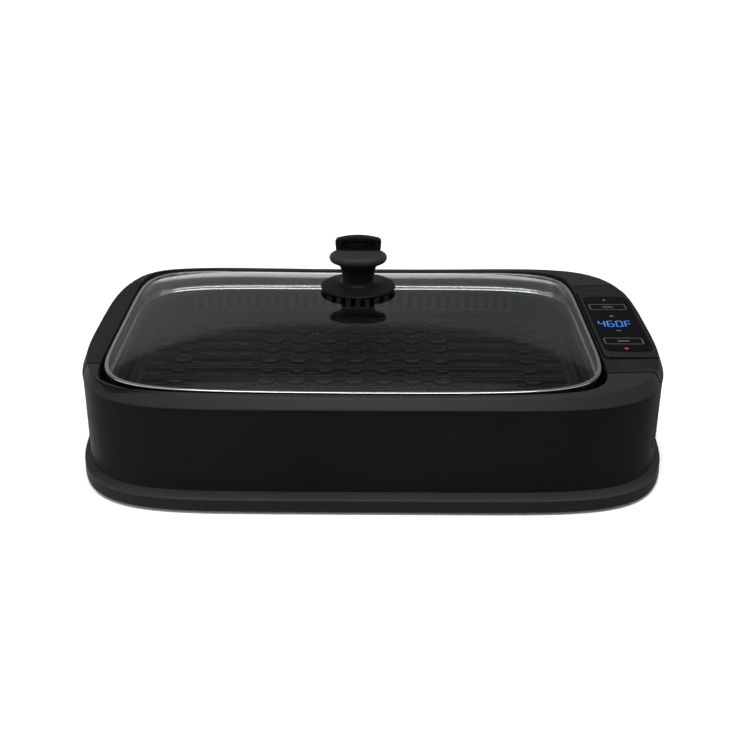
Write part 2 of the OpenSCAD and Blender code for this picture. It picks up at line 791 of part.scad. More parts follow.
module clip(x, y) {
    difference() {
        block([x - 5, plug_y + y - element_d / 2 - 7, element_z - element_d / 2 - clip_t],
              [x + 5, plug_y + y + element_d / 2 + 7, plate_z]);
        block([x - 6, plug_y + y - element_d / 2 - 0.1, element_z - element_d / 2 - 0.05],
              [x + 6, plug_y + y + element_d / 2 + 0.1, plate_z + eps]);
        for (s = [-1, 1]) translate([x, plug_y + y + s * (element_d / 2 + 7), element_z - element_d / 2 - clip_t - eps])
            cube([12, 11.6, 2 * (element_d + clip_t - 0.05)], center = true);
    }
}

module element_clips() {
    color([0.7, 0.7, 0.7]) for (x = clip_x, y = run_y, s = [-1, 1]) clip(x, s * y);
}

module terminal_block() {
    color([0.75, 0.72, 0.65]) difference() {
        block([plug_x - plug_w / 2, plug_y - plug_l / 2 - 8, block_z], [plug_x + plug_w / 2, plug_y + plug_l / 2 + 8, plate_z]);
        peg(plug_x, plug_y, block_z - eps, plate_z + eps, sensor_d + 2);
        for (s = [-1, 1]) peg(plug_x, plug_y + s * pin_y, block_z - eps, block_z + 6, pin_d);
    }
}

module terminal_pins() {
    color([0.8, 0.75, 0.5]) for (s = [-1, 1])
        peg(plug_x, plug_y + s * pin_y, well_floor_z + 2, block_z + 6, pin_d);
}

// ---------- lid ----------

module lid_rim() {
    outer = lid_line(0);
    inner = lid_line(-band_t);
    lip = lid_line(-band_t - lip_w);
    a = lid_w / 2;
    color([0.75, 0.75, 0.76]) loft([
        ring(outer, rim_z),
        ring(outer, rim_top, rim_rise, a),
        ring(lip, rim_top, rim_rise, a),
        ring(lip, rim_top - 0.8, rim_rise, a),
        ring(inner, rim_top - 0.8, rim_rise, a),
        ring(inner, glass_edge - 0.1, rim_rise, a),
        ring(lip, glass_edge - 0.1, rim_rise, a),
        ring(lip, glass_edge - 0.9, rim_rise, a),
        ring(inner, glass_edge - 0.9, rim_rise, a),
        ring(inner, rim_z)
    ], closed = true);
}

flat_edge = band_t + lip_w + 0.8;     // how far the glass runs in flat before the dome starts

// One level of the dome, at share s of the way out from the middle
function dome_ring(s, drop) =
    let (n = 2.6 + (lid_power - 2.6) * s * s, a = (lid_w / 2 - flat_edge) * s, b = (lid_d / 2 - flat_edge) * s)
    ring(outline(a, b, n, n, lid_x, lid_y), glass_edge + glass_t - drop + dome_h * (1 - pow(s, dome_power)),
         rim_rise, lid_w / 2);

dome_s = [0.06, 0.2, 0.36, 0.52, 0.68, 0.84, 1];

module lid_glass() {
    edge = lid_line(-band_t - glass_fit);
    color([0.25, 0.27, 0.28, 0.4]) difference() {
        loft(concat(
            [for (s = dome_s) dome_ring(s, glass_t)],
            [ring(edge, glass_edge, rim_rise, lid_w / 2), ring(edge, glass_edge + glass_t, rim_rise, lid_w / 2)],
            [for (i = [len(dome_s) - 1 : -1 : 0]) dome_ring(dome_s[i], 0)]
        ));
        peg(knob_x, knob_y, glass_edge, glass_edge + 60, 8);
    }
}

// Height of the glass's top at a distance in front of or behind the lid's middle, and one beside it
function dome_z(x, y) = glass_edge + glass_t + rim_rise * pow(x / (lid_w / 2), 2)
    + dome_h * (1 - pow(y / (lid_d / 2 - flat_edge), dome_power));

// The glass's top at the knob, and the highest point under the washer
washer_d = 40;
washer_t = 1.4;
washer_fit = 0.1;
glass_top = dome_z(knob_x, abs(knob_y - lid_y));
washer_z = dome_z(abs(knob_x) + washer_d / 2, max(0, abs(knob_y - lid_y) - washer_d / 2)) + washer_fit;
saucer_z = washer_z + washer_t;

module knob_washer() {
    color([0.1, 0.1, 0.1]) difference() {
        peg(knob_x, knob_y, washer_z, saucer_z, washer_d);
        peg(knob_x, knob_y, washer_z - eps, saucer_z + eps, 8);
    }
}

neck_top = saucer_z + knob_h - cap_t;

module knob_base() {
    color([0.09, 0.09, 0.09]) translate([knob_x, knob_y, saucer_z]) difference() {
        rotate_extrude() polygon([
            [0, 0], [saucer_d / 2 - 3, 0], [saucer_d / 2, 2.2], [saucer_d / 2 - 0.6, 3.4],
            [neck_d / 2 + 8, 4.8], [neck_d / 2 + 1.5, 6], [neck_d / 2, 9], [neck_d / 2 + 0.3, neck_top - saucer_z - 10],
            [neck_d / 2 + 2.2, neck_top - saucer_z - 4], [neck_d / 2 + 5.5, neck_top - saucer_z], [0, neck_top - saucer_z]
        ]);
        translate([0, 0, -eps]) cylinder(d = 5.1, h = 20);
    }
}

// The cap is an oval disc with a rounded edge
module cap() {
    r = cap_d / 2;
    hull() for (s = [-1, 1]) translate([s * (cap_w / 2 - r), 0, 0]) rotate_extrude($fn = 32) polygon([
        [0, 0], [r - 5, 0], [r - 2, 1.2], [r - 0.4, 3], [r, 4.6], [r - 0.8, 6.3], [r - 2.6, cap_t], [0, cap_t]
    ]);
}

tab_y = cap_d / 2 - 3.5 - tab_t;      // front face of the tab, behind the knob's axis
bar_h = 1.2;
bar_pitch = (tab_h - 8.4) / 2;        // spacing of the three grip bars in the tab's recess

module knob_grip() {
    color([0.12, 0.12, 0.12]) translate([knob_x, knob_y, neck_top]) {
        cap();
        difference() {
            translate([0, tab_y + tab_t, cap_t - 1]) rotate([90, 0, 0]) linear_extrude(tab_t) intersection() {
                translate([0, tab_h + 1 - 76]) circle(76);
                union() {
                    translate([-tab_w / 2 + 1, 0]) square([tab_w - 2, tab_h - 3]);
                    translate([-tab_w / 2 + 4, 0]) square([tab_w - 8, tab_h + 1]);
                    for (s = [-1, 1]) translate([s * (tab_w / 2 - 4), tab_h - 4]) circle(4);
                }
            }
            block([-tab_w / 2 + 6.5, tab_y - 1, cap_t + 1], [tab_w / 2 - 6.5, tab_y + 2.5, cap_t + tab_h - 5]);
        }
        for (b = [[8, 0], [16, 1], [8, 2]])
            block([-b[0] / 2, tab_y + 1, cap_t + 1.8 + b[1] * bar_pitch],
                  [b[0] / 2, tab_y + 2.6, cap_t + 1.8 + bar_h + b[1] * bar_pitch]);
    }
}

screw_head_z = glass_top - glass_t - 2;
glass_clear = 1;                      // gap over the washer's middle, so that its rim clears the sloping glass

module screw_washer() {
    color([0.1, 0.1, 0.1]) difference() {
        peg(knob_x, knob_y, screw_head_z, glass_top - glass_t - glass_clear, 18);
        peg(knob_x, knob_y, screw_head_z - eps, glass_top, 5.6);
    }
}

module knob_screw() {
    color([0.7, 0.7, 0.72]) {
        peg(knob_x, knob_y, screw_head_z - 3, screw_head_z, 10);
        peg(knob_x, knob_y, screw_head_z - eps, saucer_z + 18, 5);
    }
}

base_tray();
rubber_feet();
base_screws();
body_shell();
left_deck();
right_deck();
panel_surround();
control_panel();
display_module();
touch_board();
power_board();
power_inlet();
exhaust_grille();
well_liner();
vent_grille();
socket_block();
plate_sensor();
fan_housing();
fan_cover();
fan_motor();
fan_shaft();
fan_wheel();
drip_tray();
grill_plate();
heating_element();
element_clips();
terminal_block();
terminal_pins();
lid_rim();
lid_glass();
knob_washer();
knob_base();
knob_grip();
knob_screw();
screw_washer();
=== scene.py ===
"""Countertop smokeless grill: smooth moulded surfaces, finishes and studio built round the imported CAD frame.

Lengths are written in millimetres and turned to metres by MM where a mesh is made.
The front faces -Y, the control panel is at +X, and the table is at z = 0.
"""

import math

import bmesh
import bpy
import numpy as np
from mathutils import Matrix, Vector


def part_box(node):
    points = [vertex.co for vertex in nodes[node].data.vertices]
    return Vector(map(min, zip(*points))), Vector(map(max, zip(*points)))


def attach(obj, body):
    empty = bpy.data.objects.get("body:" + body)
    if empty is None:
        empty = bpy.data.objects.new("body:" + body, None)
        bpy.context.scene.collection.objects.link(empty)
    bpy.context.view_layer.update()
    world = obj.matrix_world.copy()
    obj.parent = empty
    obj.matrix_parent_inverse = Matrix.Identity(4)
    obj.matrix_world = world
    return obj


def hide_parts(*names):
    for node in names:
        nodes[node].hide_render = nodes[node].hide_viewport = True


MM = 0.001
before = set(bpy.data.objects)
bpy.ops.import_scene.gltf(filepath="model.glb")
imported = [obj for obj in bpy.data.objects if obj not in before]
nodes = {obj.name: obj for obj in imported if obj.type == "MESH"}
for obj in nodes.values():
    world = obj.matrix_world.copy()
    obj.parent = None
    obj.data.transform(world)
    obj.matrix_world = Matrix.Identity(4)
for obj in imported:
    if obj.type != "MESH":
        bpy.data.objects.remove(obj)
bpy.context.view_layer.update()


def box_mm(node):
    """A CAD node's lowest and highest corners in millimetres."""
    return [np.array(corner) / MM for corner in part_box(node)]


def middles(node, reach):
    """Middles in plan, in millimetres, of a CAD node's separate solids. A vertex within reach of a group's
    first one joins that group."""
    turn = nodes[node].matrix_world
    found = []
    for vertex in nodes[node].data.vertices:
        spot = np.array(turn @ vertex.co)[:2] / MM
        for group in found:
            if np.linalg.norm(group[0] - spot) < reach:
                group.append(spot)
                break
        else:
            found.append([spot])
    return [(np.min(group, axis=0) + np.max(group, axis=0)) / 2 for group in found]


# ---------------------------------------------------------------- sizes, from the frame where it shows them

rim_lo, rim_hi = box_mm("lid_rim")
base_lo, base_hi = box_mm("base_tray")
shell_hi = box_mm("body_shell")[1]
left_lo, left_hi = box_mm("left_deck")
right_lo = box_mm("right_deck")[0]
surround_lo, surround_hi = box_mm("panel_surround")
panel_lo, panel_hi = box_mm("control_panel")
saucer_lo, saucer_hi = box_mm("knob_base")
grip_hi = box_mm("knob_grip")[1]
tray_lo, tray_hi = box_mm("drip_tray")
exhaust_lo, exhaust_hi = box_mm("exhaust_grille")
inlet_lo, inlet_hi = box_mm("power_inlet")

CREASE_A, CREASE_B = -left_lo[0], shell_hi[1]      # half width and half depth at the crease
ENDS_POWER, SIDES_POWER = 6.6, 3.4                 # the housing's outline: flat front and rear, bulging sides
CREASE_Z = 99.0
BEVEL_X, BEVEL_Y = 4.5, 8.5                        # how far the bevel draws in from the crease to the deck
DECK_A, DECK_B = CREASE_A - BEVEL_X, CREASE_B - BEVEL_Y
DECK_Z = 107.0
DECK_RISE = 4.5                                    # the deck's ends stand this much over its middle
DECK_BOW = DECK_RISE / DECK_A ** 2
DRAFT_X, DRAFT_Y = 0.5, 9.5                        # how far the wall draws in from the crease to its foot
FOOT_A, FOOT_B = CREASE_A - DRAFT_X, CREASE_B - DRAFT_Y
WALL_T = 2.6
LIP_OUT, LIP_DROP = 0.4, 1.2                       # the crease overhangs the wall by a fine lip
SHELL_Z = 15.0
BASE_A, BASE_B = base_hi[0], base_hi[1]
BASE_Z = base_lo[2]
BASE_T = 3.0

LID_X, LID_Y = (rim_lo[0] + rim_hi[0]) / 2, (rim_lo[1] + rim_hi[1]) / 2
LID_A, LID_B = (rim_hi[0] - rim_lo[0]) / 2, (rim_hi[1] - rim_lo[1]) / 2
LID_POWER = 6.6
GAP_SIDES, GAP_ENDS = 2.0, 4.4                     # the gap round the lid: at its sides, at front and rear
OPENING_POWER = 9.0                                # the well opening's corners are squarer than the lid's
RIM_RISE = 3.5                                     # the band's ends stand this much over its middle
RIM_BOW = RIM_RISE / LID_A ** 2
RIM_Z, RIM_TOP = rim_lo[2], 107.0
BAND_T = 1.2
HEM_X, HEM_Y, HEM_H = 1.6, 7.2, 3.4                # the band's rolled lower edge: its reaches and its height
LIP_W = 2.0                                        # the band's two inner lips, over and under the glass
LIP_T = 0.8
GLASS_T = 4.0
GLASS_EDGE = RIM_TOP - 0.9 - GLASS_T
DOME_INSET = BAND_T + LIP_W + 0.8
DOME_H = 24.5
DOME_POWER = 3.2                                   # over 2, so the dome is flat in its middle
CORE_POWER = 2.6                                   # the dome's outline there; it squares up towards the rim

LEDGE_Z = 88.0
RETURN_H, RETURN_T = 7.0, 1.2                      # the deck's edge turns down into the well opening
LINER_TOP = DECK_Z - RETURN_H
LINER_T = 2.0
WELL_INSET = 7.0
WELL_FLOOR_Z = 33.0
SHELF_Z = 54.8
SHELF_W, SHELF_T = 4.0, 2.0

SEAM_LEFT, SEAM_RIGHT = left_lo[1], right_lo[1]    # front seams of the side decks
SEAM_REAR = left_hi[1]
SEAM_LOW = left_lo[2]
SEAM_STEPS = np.array([0.0, 0.04, 0.12, 0.25, 1.0])  # distances from a seam, where its edge is rounded
SEAM_ROUND = 0.25
SURROUND_GAP = 1.2                                 # the gap round the control panel's surround
GAP = 2.2                                          # the gap left at a seam
RIB_PITCH = 5.0
RIB_DEPTH = 0.95
RIB_WIDTH = 2.0
SURROUND_R = 6.0
SURROUND_INSET = 1.0                               # the surround's outer side, in from the deck's edge
PANEL_W = 45.0
PANEL_R = 9.0
PANEL_INSET = 2.5                                  # the panel's outer side, in from the deck's edge

KNOB_X, KNOB_Y = ((saucer_lo + saucer_hi) / 2)[:2]
SAUCER_Z, NECK_TOP = saucer_lo[2], saucer_hi[2]
CAP_A, CAP_B, CAP_T = 28.75, 21.5, 9.0
TAB_W, TAB_T = 46.6, 8.0

ROUND_SHARE = 0.40                                 # a rounding takes at most this share of a side
SUPPORT_SHARE, SUPPORT_REACH = 0.47, 1.3           # its support point lies this share, or this times r, out
EDGE_END = 1.4                                     # a flat face starts this times its edge's radius in


# ---------------------------------------------------------------- surfaces

def level(a, b, p, q, cx, cy, z, bow=0.0):
    """One outline of a stack: |x / a|^p + |y / b|^q = 1 about (cx, cy), at the height z + bow x^2."""
    return np.array([a, b, p, cx, cy, z, bow, q], float)


def body_level(a, b, inset, z, bow=0.0):
    """An outline of the housing or base, drawn in by inset."""
    return level(a - inset, b - inset, ENDS_POWER, SIDES_POWER, 0, 0, z, bow)


def crease_level(inset, z):
    """The outline at the crease, where the wall meets the bevel."""
    return body_level(CREASE_A, CREASE_B, inset, z)


def deck_level(inset, z):
    """The outline at the deck's edge, over the bevel, bowed up at its ends."""
    return body_level(DECK_A, DECK_B, inset, z, DECK_BOW)


def foot_level(inset, z):
    """The outline at the wall's foot."""
    return body_level(FOOT_A, FOOT_B, inset, z)


def base_level(inset, z):
    """The outline of the base's stepped edge."""
    return body_level(BASE_A, BASE_B, inset, z)


def lid_level(grow, z, bow=0.0):
    """The lid's outline, grown by grow."""
    return level(LID_A + grow, LID_B + grow, LID_POWER, LID_POWER, LID_X, LID_Y, z, bow)


def opening_level(grow, z, bow=0.0):
    """The well opening's outline, grown by grow: the lid's with the gap round it."""
    a, b = LID_A + grow + GAP_SIDES, LID_B + grow + GAP_ENDS
    return level(a, b, OPENING_POWER, OPENING_POWER, LID_X, LID_Y, z, bow)


def rim_level(grow, z):
    """The lid's outline, bowed up at its ends as its band is."""
    return lid_level(grow, z, RIM_BOW)


def soften(stack, closed=True, samples=5):
    """Rounds a stack of (level, radius): at each level P a quadratic curve runs from P + r towards the last
    level to P + r towards the next one, with a support level just outside each end to keep the flats flat."""
    out = []
    count = len(stack)
    for i, (here, radius) in enumerate(stack):
        if radius == 0 or (not closed and i in (0, count - 1)):
            out.append(here)
            continue
        ends, supports = [], []
        for other in (stack[i - 1][0], stack[(i + 1) % count][0]):
            step = other - here
            run = math.sqrt((step[0] ** 2 + step[1] ** 2) / 2 + step[5] ** 2)
            ends.append(here + step * min(ROUND_SHARE, radius / run))
            supports.append(here + step * min(SUPPORT_SHARE, SUPPORT_REACH * radius / run))
        out.append(supports[0])
        for s in np.linspace(0, 1, samples):
            out.append((1 - s) ** 2 * ends[0] + 2 * s * (1 - s) * here + s * s * ends[1])
        out.append(supports[1])
    return np.array(out)


def mix_levels(first, last, share):
    """The level a share of the way from first to last: first + (last - first) share."""
    return first + (last - first) * share


def points_at(levels, t):
    """x = cx + a sgn(cos t)|cos t|^(2/p), y = cy + b sgn(sin t)|sin t|^(2/q), z = z0 + bow x^2."""
    lv = levels[:, :, None]
    c, s = np.cos(t), np.sin(t)
    x = lv[:, 3] + lv[:, 0] * np.sign(c) * np.abs(c) ** (2 / lv[:, 2])
    y = lv[:, 4] + lv[:, 1] * np.sign(s) * np.abs(s) ** (2 / lv[:, 7])
    return np.stack([x, y, lv[:, 5] + lv[:, 6] * x ** 2], axis=2)


def full_turn(levels, count=384):
    """The whole outline of every level."""
    t = np.linspace(0, 2 * np.pi, count, endpoint=False)
    return points_at(levels, np.repeat(t[None, :], len(levels), axis=0))


def side_angle(levels, y):
    """The angle, from -90 to 90 degrees, at which each level's outline crosses y: sgn(v) asin(|v|^(q/2)),
    where v = (y - cy) / b."""
    v = np.clip((y - levels[:, 4]) / levels[:, 1], -0.9999, 0.9999)
    return np.sign(v) * np.arcsin(np.abs(v) ** (levels[:, 7] / 2))


def side_points(levels, side, y):
    """Points on one side of every level at the given y: x = cx + side a (1 - |(y - cy) / b|^q)^(1/p)."""
    lv = levels[:, :, None]
    v = np.clip(np.abs((y[None, :] - lv[:, 4]) / lv[:, 1]), 0, 0.9999)
    x = lv[:, 3] + side * lv[:, 0] * (1 - v ** lv[:, 7]) ** (1 / lv[:, 2])
    return np.stack([x, np.broadcast_to(y[None, :], x.shape), lv[:, 5] + lv[:, 6] * x ** 2], axis=2)


def grid_normals(grid):
    """Unit normals of a grid whose rows close on themselves: the cross product of its differences along the
    columns and along the rows."""
    along = np.roll(grid, -1, axis=0) - np.roll(grid, 1, axis=0)
    across = np.gradient(grid, axis=1)
    normal = np.cross(across, along)
    return normal / (np.linalg.norm(normal, axis=2, keepdims=True) + 1e-12)


def build_mesh(name, grids, closed_rows=False, closed_cols=True, caps=(False, False), ends=False,
               sharp=40.0):
    """Joins grids of points (rows, columns, 3) into one object of quads. Rows climb the outside and columns
    run anticlockwise from above, so faces look outwards. caps close the first and last rows, ends the
    columns."""
    verts, faces, base = [], [], 0
    for grid in grids:
        rows, cols = grid.shape[:2]
        verts.append(grid.reshape(-1, 3))
        rr, cc = np.meshgrid(np.arange(rows if closed_rows else rows - 1),
                             np.arange(cols if closed_cols else cols - 1), indexing="ij")
        r2, c2 = (rr + 1) % rows, (cc + 1) % cols
        quads = np.stack([rr * cols + cc, rr * cols + c2, r2 * cols + c2, r2 * cols + cc], axis=2)
        faces += (quads.reshape(-1, 4) + base).tolist()
        if caps[0]:
            faces.append((base + np.arange(cols)[::-1]).tolist())
        if caps[1]:
            faces.append((base + (rows - 1) * cols + np.arange(cols)).tolist())
        if ends:
            faces.append((base + np.arange(rows) * cols).tolist())
            faces.append((base + np.arange(rows)[::-1] * cols + cols - 1).tolist())
        base += rows * cols
    mesh = bpy.data.meshes.new(name)
    mesh.from_pydata(np.concatenate(verts) * MM, [], faces)
    return new_object(name, mesh, sharp)


def new_object(name, mesh, sharp=40.0):
    """Welds a mesh, shades it smooth up to an angle and puts it in the scene."""
    bm = bmesh.new()
    bm.from_mesh(mesh)
    bmesh.ops.remove_doubles(bm, verts=bm.verts, dist=0.002 * MM)
    bm.to_mesh(mesh)
    bm.free()
    mesh.validate()
    mesh.shade_smooth()
    mesh.set_sharp_from_angle(angle=math.radians(sharp))
    obj = bpy.data.objects.new(name, mesh)
    bpy.context.scene.collection.objects.link(obj)
    return obj


def lathe(name, profile, centre, count=96):
    """Turns a profile of (radius, z) points about a vertical axis; a radius of 0 closes the pole."""
    profile = np.array(profile, float)
    t = np.linspace(0, 2 * np.pi, count, endpoint=False)
    x = centre[0] + profile[:, :1] * np.cos(t)
    y = centre[1] + profile[:, :1] * np.sin(t)
    z = np.repeat(profile[:, 1:2], count, axis=1)
    return build_mesh(name, [np.stack([x, y, z], axis=2)])


def round_profile(points, radii, samples=6):
    """Rounds the corners of a 2-D line with quadratic curves, with a support point outside each end."""
    pts = np.array(points, float)
    out = [pts[0]]
    for i in range(1, len(pts) - 1):
        here, radius = pts[i], radii[i]
        if radius == 0:
            out.append(here)
            continue
        steps = [pts[i - 1] - here, pts[i + 1] - here]
        runs = [np.linalg.norm(s) for s in steps]
        ends = [here + s * min(ROUND_SHARE, radius / r) for s, r in zip(steps, runs)]
        supports = [here + s * min(SUPPORT_SHARE, SUPPORT_REACH * radius / r) for s, r in zip(steps, runs)]
        out.append(supports[0])
        for s in np.linspace(0, 1, samples):
            out.append((1 - s) ** 2 * ends[0] + 2 * s * (1 - s) * here + s * s * ends[1])
        out.append(supports[1])
    return np.array(out + [pts[-1]])


def rectangle(width, length, radius, centre=(0, 0), count=10):
    """A rectangle with round corners as points, anticlockwise from above."""
    out = []
    for sx, sy, start in ((1, 1, 0), (-1, 1, 90), (-1, -1, 180), (1, -1, 270)):
        a = np.radians(start + np.linspace(0, 90, count))
        out.append(np.stack([centre[0] + sx * (width / 2 - radius) + radius * np.cos(a),
                             centre[1] + sy * (length / 2 - radius) + radius * np.sin(a)], axis=1))
    return np.concatenate(out)


def drawn_in(outline, inset):
    """An outline moved inwards along its own normals."""
    ahead = np.roll(outline, -1, axis=0) - np.roll(outline, 1, axis=0)
    normal = np.stack([-ahead[:, 1], ahead[:, 0]], axis=1)
    return outline + inset * normal / np.linalg.norm(normal, axis=1)[:, None]


def at_height(outline, z):
    """A plan outline as points at one height."""
    return np.column_stack([outline, np.full(len(outline), z)])


def slab_grid(outline, z0, z1, edge):
    """Rows of a plate whose upper edge is a quarter round: the outline goes in by e (1 - cos a) and up by
    e sin a."""
    rows = [(0, z0), (0, z1 - SUPPORT_REACH * edge)]
    for a in np.linspace(0, math.pi / 2, 6):
        rows.append((edge * (1 - math.cos(a)), z1 - edge + edge * math.sin(a)))
    rows.append((EDGE_END * edge, z1))
    return np.array([at_height(drawn_in(outline, inset), z) for inset, z in rows])


def slab(name, outline, z0, z1, edge):
    """A plate of an outline between two heights, its upper edge rounded."""
    return build_mesh(name, [slab_grid(outline, z0, z1, edge)], caps=(True, True))


def block(name, lo, hi):
    """A plain box between two corners, used as a cutter."""
    middle = ((hi[0] + lo[0]) / 2, (hi[1] + lo[1]) / 2)
    return slab(name, rectangle(hi[0] - lo[0], hi[1] - lo[1], 0.01, middle, 2), lo[2], hi[2], 0.001)


def post(name, x, y, z0, z1, radius):
    """A plain upright cylinder, used as a cutter."""
    return lathe(name, [(0, z0), (radius, z0), (radius, z1), (0, z1)], (x, y), 40)


def cut(obj, *cutters, sharp=40.0):
    """Cuts solids out of an object with Boolean modifiers, then applies them and removes the cutters."""
    for cutter in cutters:
        mod = obj.modifiers.new("cut", "BOOLEAN")
        mod.operation = "DIFFERENCE"
        mod.solver = "EXACT"
        mod.object = cutter
    mesh = bpy.data.meshes.new_from_object(obj.evaluated_get(bpy.context.evaluated_depsgraph_get()))
    obj.modifiers.clear()
    obj.data = mesh
    mesh.name = obj.name
    for cutter in cutters:
        bpy.data.objects.remove(cutter)
    mesh.shade_smooth()
    mesh.set_sharp_from_angle(angle=math.radians(sharp))
    return obj


# ---------------------------------------------------------------- materials

def srgb(code):
    """An sRGB hex colour as linear RGBA."""
    value = np.array([int(code[i:i + 2], 16) for i in (1, 3, 5)]) / 255
    linear = np.where(value <= 0.04045, value / 12.92, ((value + 0.055) / 1.055) ** 2.4)
    return (*linear.tolist(), 1.0)


def add(tree, kind, links=None, inputs=None, **settings):
    """Adds one node: settings are its properties, inputs its socket values and links its (node, output)
    sources."""
    node = tree.nodes.new(kind)
    for key, value in settings.items():
        setattr(node, key, value)
    for key, value in (inputs or {}).items():
        node.inputs[key].default_value = value
    for key, (source, output) in (links or {}).items():
        tree.links.new(source.outputs[output], node.inputs[key])
    return node


def new_material(name, colour, roughness, **sockets):
    """A Principled material with its plain values set, and its Object coordinates."""
    mat = bpy.data.materials.new(name)
    mat.use_nodes = True
    tree = mat.node_tree
    shader = next(n for n in tree.nodes if n.type == "BSDF_PRINCIPLED")
    shader.inputs["Base Color"].default_value = srgb(colour)
    shader.inputs["Roughness"].default_value = roughness
    for key, value in sockets.items():
        shader.inputs[key.replace("_", " ")].default_value = value
    return mat, tree, shader, add(tree, "ShaderNodeTexCoord")


def noise(tree, coords, size_mm, detail=3.0, stretch=None):
    """Noise whose features are about size_mm across, stretched along an axis where asked."""
    source = (coords, "Object")
    if stretch:
        source = (add(tree, "ShaderNodeMapping", {"Vector": source}, {"Scale": stretch}), "Vector")
    scale = 1 / (size_mm * MM)
    return add(tree, "ShaderNodeTexNoise", {"Vector": source}, {"Scale": scale, "Detail": detail})


def vary(tree, source, socket, low, high, first=0.3, last=0.7):
    """Drives a socket from low to high as a 0 to 1 pattern goes from first to last."""
    ramp = add(tree, "ShaderNodeMapRange", {"Value": source},
               {"From Min": first, "From Max": last, "To Min": low, "To Max": high})
    tree.links.new(ramp.outputs["Result"], socket)
    return ramp


def emboss(tree, shader, source, strength, depth_mm):
    """Bumps a shader's normal by a pattern depth_mm deep."""
    bump = add(tree, "ShaderNodeBump", {"Height": source}, {"Strength": strength, "Distance": depth_mm * MM})
    tree.links.new(bump.outputs["Normal"], shader.inputs["Normal"])


def tint(tree, shader, source, first, second):
    """Blends the base colour between two hex colours by a 0 to 1 pattern."""
    mix = add(tree, "ShaderNodeMix", {0: source}, {6: srgb(first), 7: srgb(second)}, data_type="RGBA")
    tree.links.new(mix.outputs[2], shader.inputs["Base Color"])


def moulded(name, colour, roughness, grain_mm=0.6, depth=0.02, worn="#1f1f20", ior=1.5):
    """Injection-moulded plastic with a spark-eroded grain: a broad sheen that breaks up close to, and a slow
    drift of tone and gloss where hands and cloths have polished it."""
    mat, tree, shader, coords = new_material(name, colour, roughness, IOR=ior)
    drift = noise(tree, coords, 90, 4)
    tint(tree, shader, (drift, "Fac"), colour, worn)
    vary(tree, (drift, "Fac"), shader.inputs["Roughness"], roughness - 0.05, roughness + 0.05)
    emboss(tree, shader, (noise(tree, coords, grain_mm), "Fac"), 0.3, depth)
    return mat


def gloss_acrylic(name, colour):
    """Coated, back-printed acrylic: a held-back sheen, with faint finger smears as softer patches."""
    mat, tree, shader, coords = new_material(name, colour, 0.3, IOR=1.09)
    vary(tree, (noise(tree, coords, 26), "Fac"), shader.inputs["Roughness"], 0.26, 0.38, 0.45, 0.75)
    return mat


def lit_print(name, colour, glow, strength):
    """Translucent print with a lamp behind it: its own colour by day, and an even glow with a fine grain."""
    mat, tree, shader, coords = new_material(name, colour, 0.35, Emission_Strength=strength)
    shader.inputs["Emission Color"].default_value = srgb(glow)
    grain = noise(tree, coords, 0.8)
    vary(tree, (grain, "Fac"), shader.inputs["Emission Strength"], strength * 0.85, strength * 1.15)
    return mat


def worked_metal(name, colour, roughness, streak_mm, stretch, depth=0.006):
    """Rolled or turned metal: streaks along the working direction spread each highlight across them."""
    mat, tree, shader, coords = new_material(name, colour, roughness, Metallic=1.0)
    streak = noise(tree, coords, streak_mm, 4, stretch)
    vary(tree, (streak, "Fac"), shader.inputs["Roughness"], roughness * 0.75, roughness * 1.3)
    emboss(tree, shader, (streak, "Fac"), 0.25, depth)
    return mat


def nonstick(name, colour):
    """Sprayed and baked nonstick on cast aluminium: orange peel with a sparse mineral fleck."""
    mat, tree, shader, coords = new_material(name, colour, 0.34, IOR=1.5)
    fleck = add(tree, "ShaderNodeTexVoronoi", {"Vector": (coords, "Object")}, {"Scale": 1 / (2.4 * MM)})
    dot = add(tree, "ShaderNodeMapRange", {"Value": (fleck, "Distance")},
              {"From Min": 0.08, "From Max": 0.14, "To Min": 0.55, "To Max": 0.0})
    tint(tree, shader, (dot, "Result"), colour, "#6c6c70")
    peel = noise(tree, coords, 1.4, 2)
    vary(tree, (peel, "Fac"), shader.inputs["Roughness"], 0.26, 0.40)
    emboss(tree, shader, (peel, "Fac"), 0.35, 0.05)
    return mat


def rubber(name, colour):
    """Moulded silicone or rubber: matt, with a slight dusty bloom."""
    mat, tree, shader, coords = new_material(name, colour, 0.75, IOR=1.41, Sheen_Weight=0.1,
                                             Sheen_Roughness=0.5)
    bloom = noise(tree, coords, 4, 5)
    vary(tree, (bloom, "Fac"), shader.inputs["Roughness"], 0.66, 0.84)
    emboss(tree, shader, (bloom, "Fac"), 0.2, 0.04)
    return mat


def ceramic(name, colour):
    """Unglazed pressed steatite: chalky, with fine pits."""
    mat, tree, shader, coords = new_material(name, colour, 0.6, IOR=1.6)
    pits = add(tree, "ShaderNodeTexVoronoi", {"Vector": (coords, "Object")}, {"Scale": 1 / (1.6 * MM)})
    vary(tree, (pits, "Distance"), shader.inputs["Roughness"], 0.5, 0.7, 0.1, 0.5)
    emboss(tree, shader, (pits, "Distance"), 0.3, 0.05)
    return mat


def circuit(name, colour, trace):
    """Solder mask over etched copper: a semi-gloss lacquer with the traces showing through as a grid."""
    mat, tree, shader, coords = new_material(name, colour, 0.32)
    grid = add(tree, "ShaderNodeTexBrick", {"Vector": (coords, "Object")},
               {"Scale": 1 / (9 * MM), "Color1": srgb(colour), "Color2": srgb(colour), "Mortar": srgb(trace)})
    tree.links.new(grid.outputs["Color"], shader.inputs["Base Color"])
    emboss(tree, shader, (grid, "Fac"), 0.3, 0.04)
    return mat


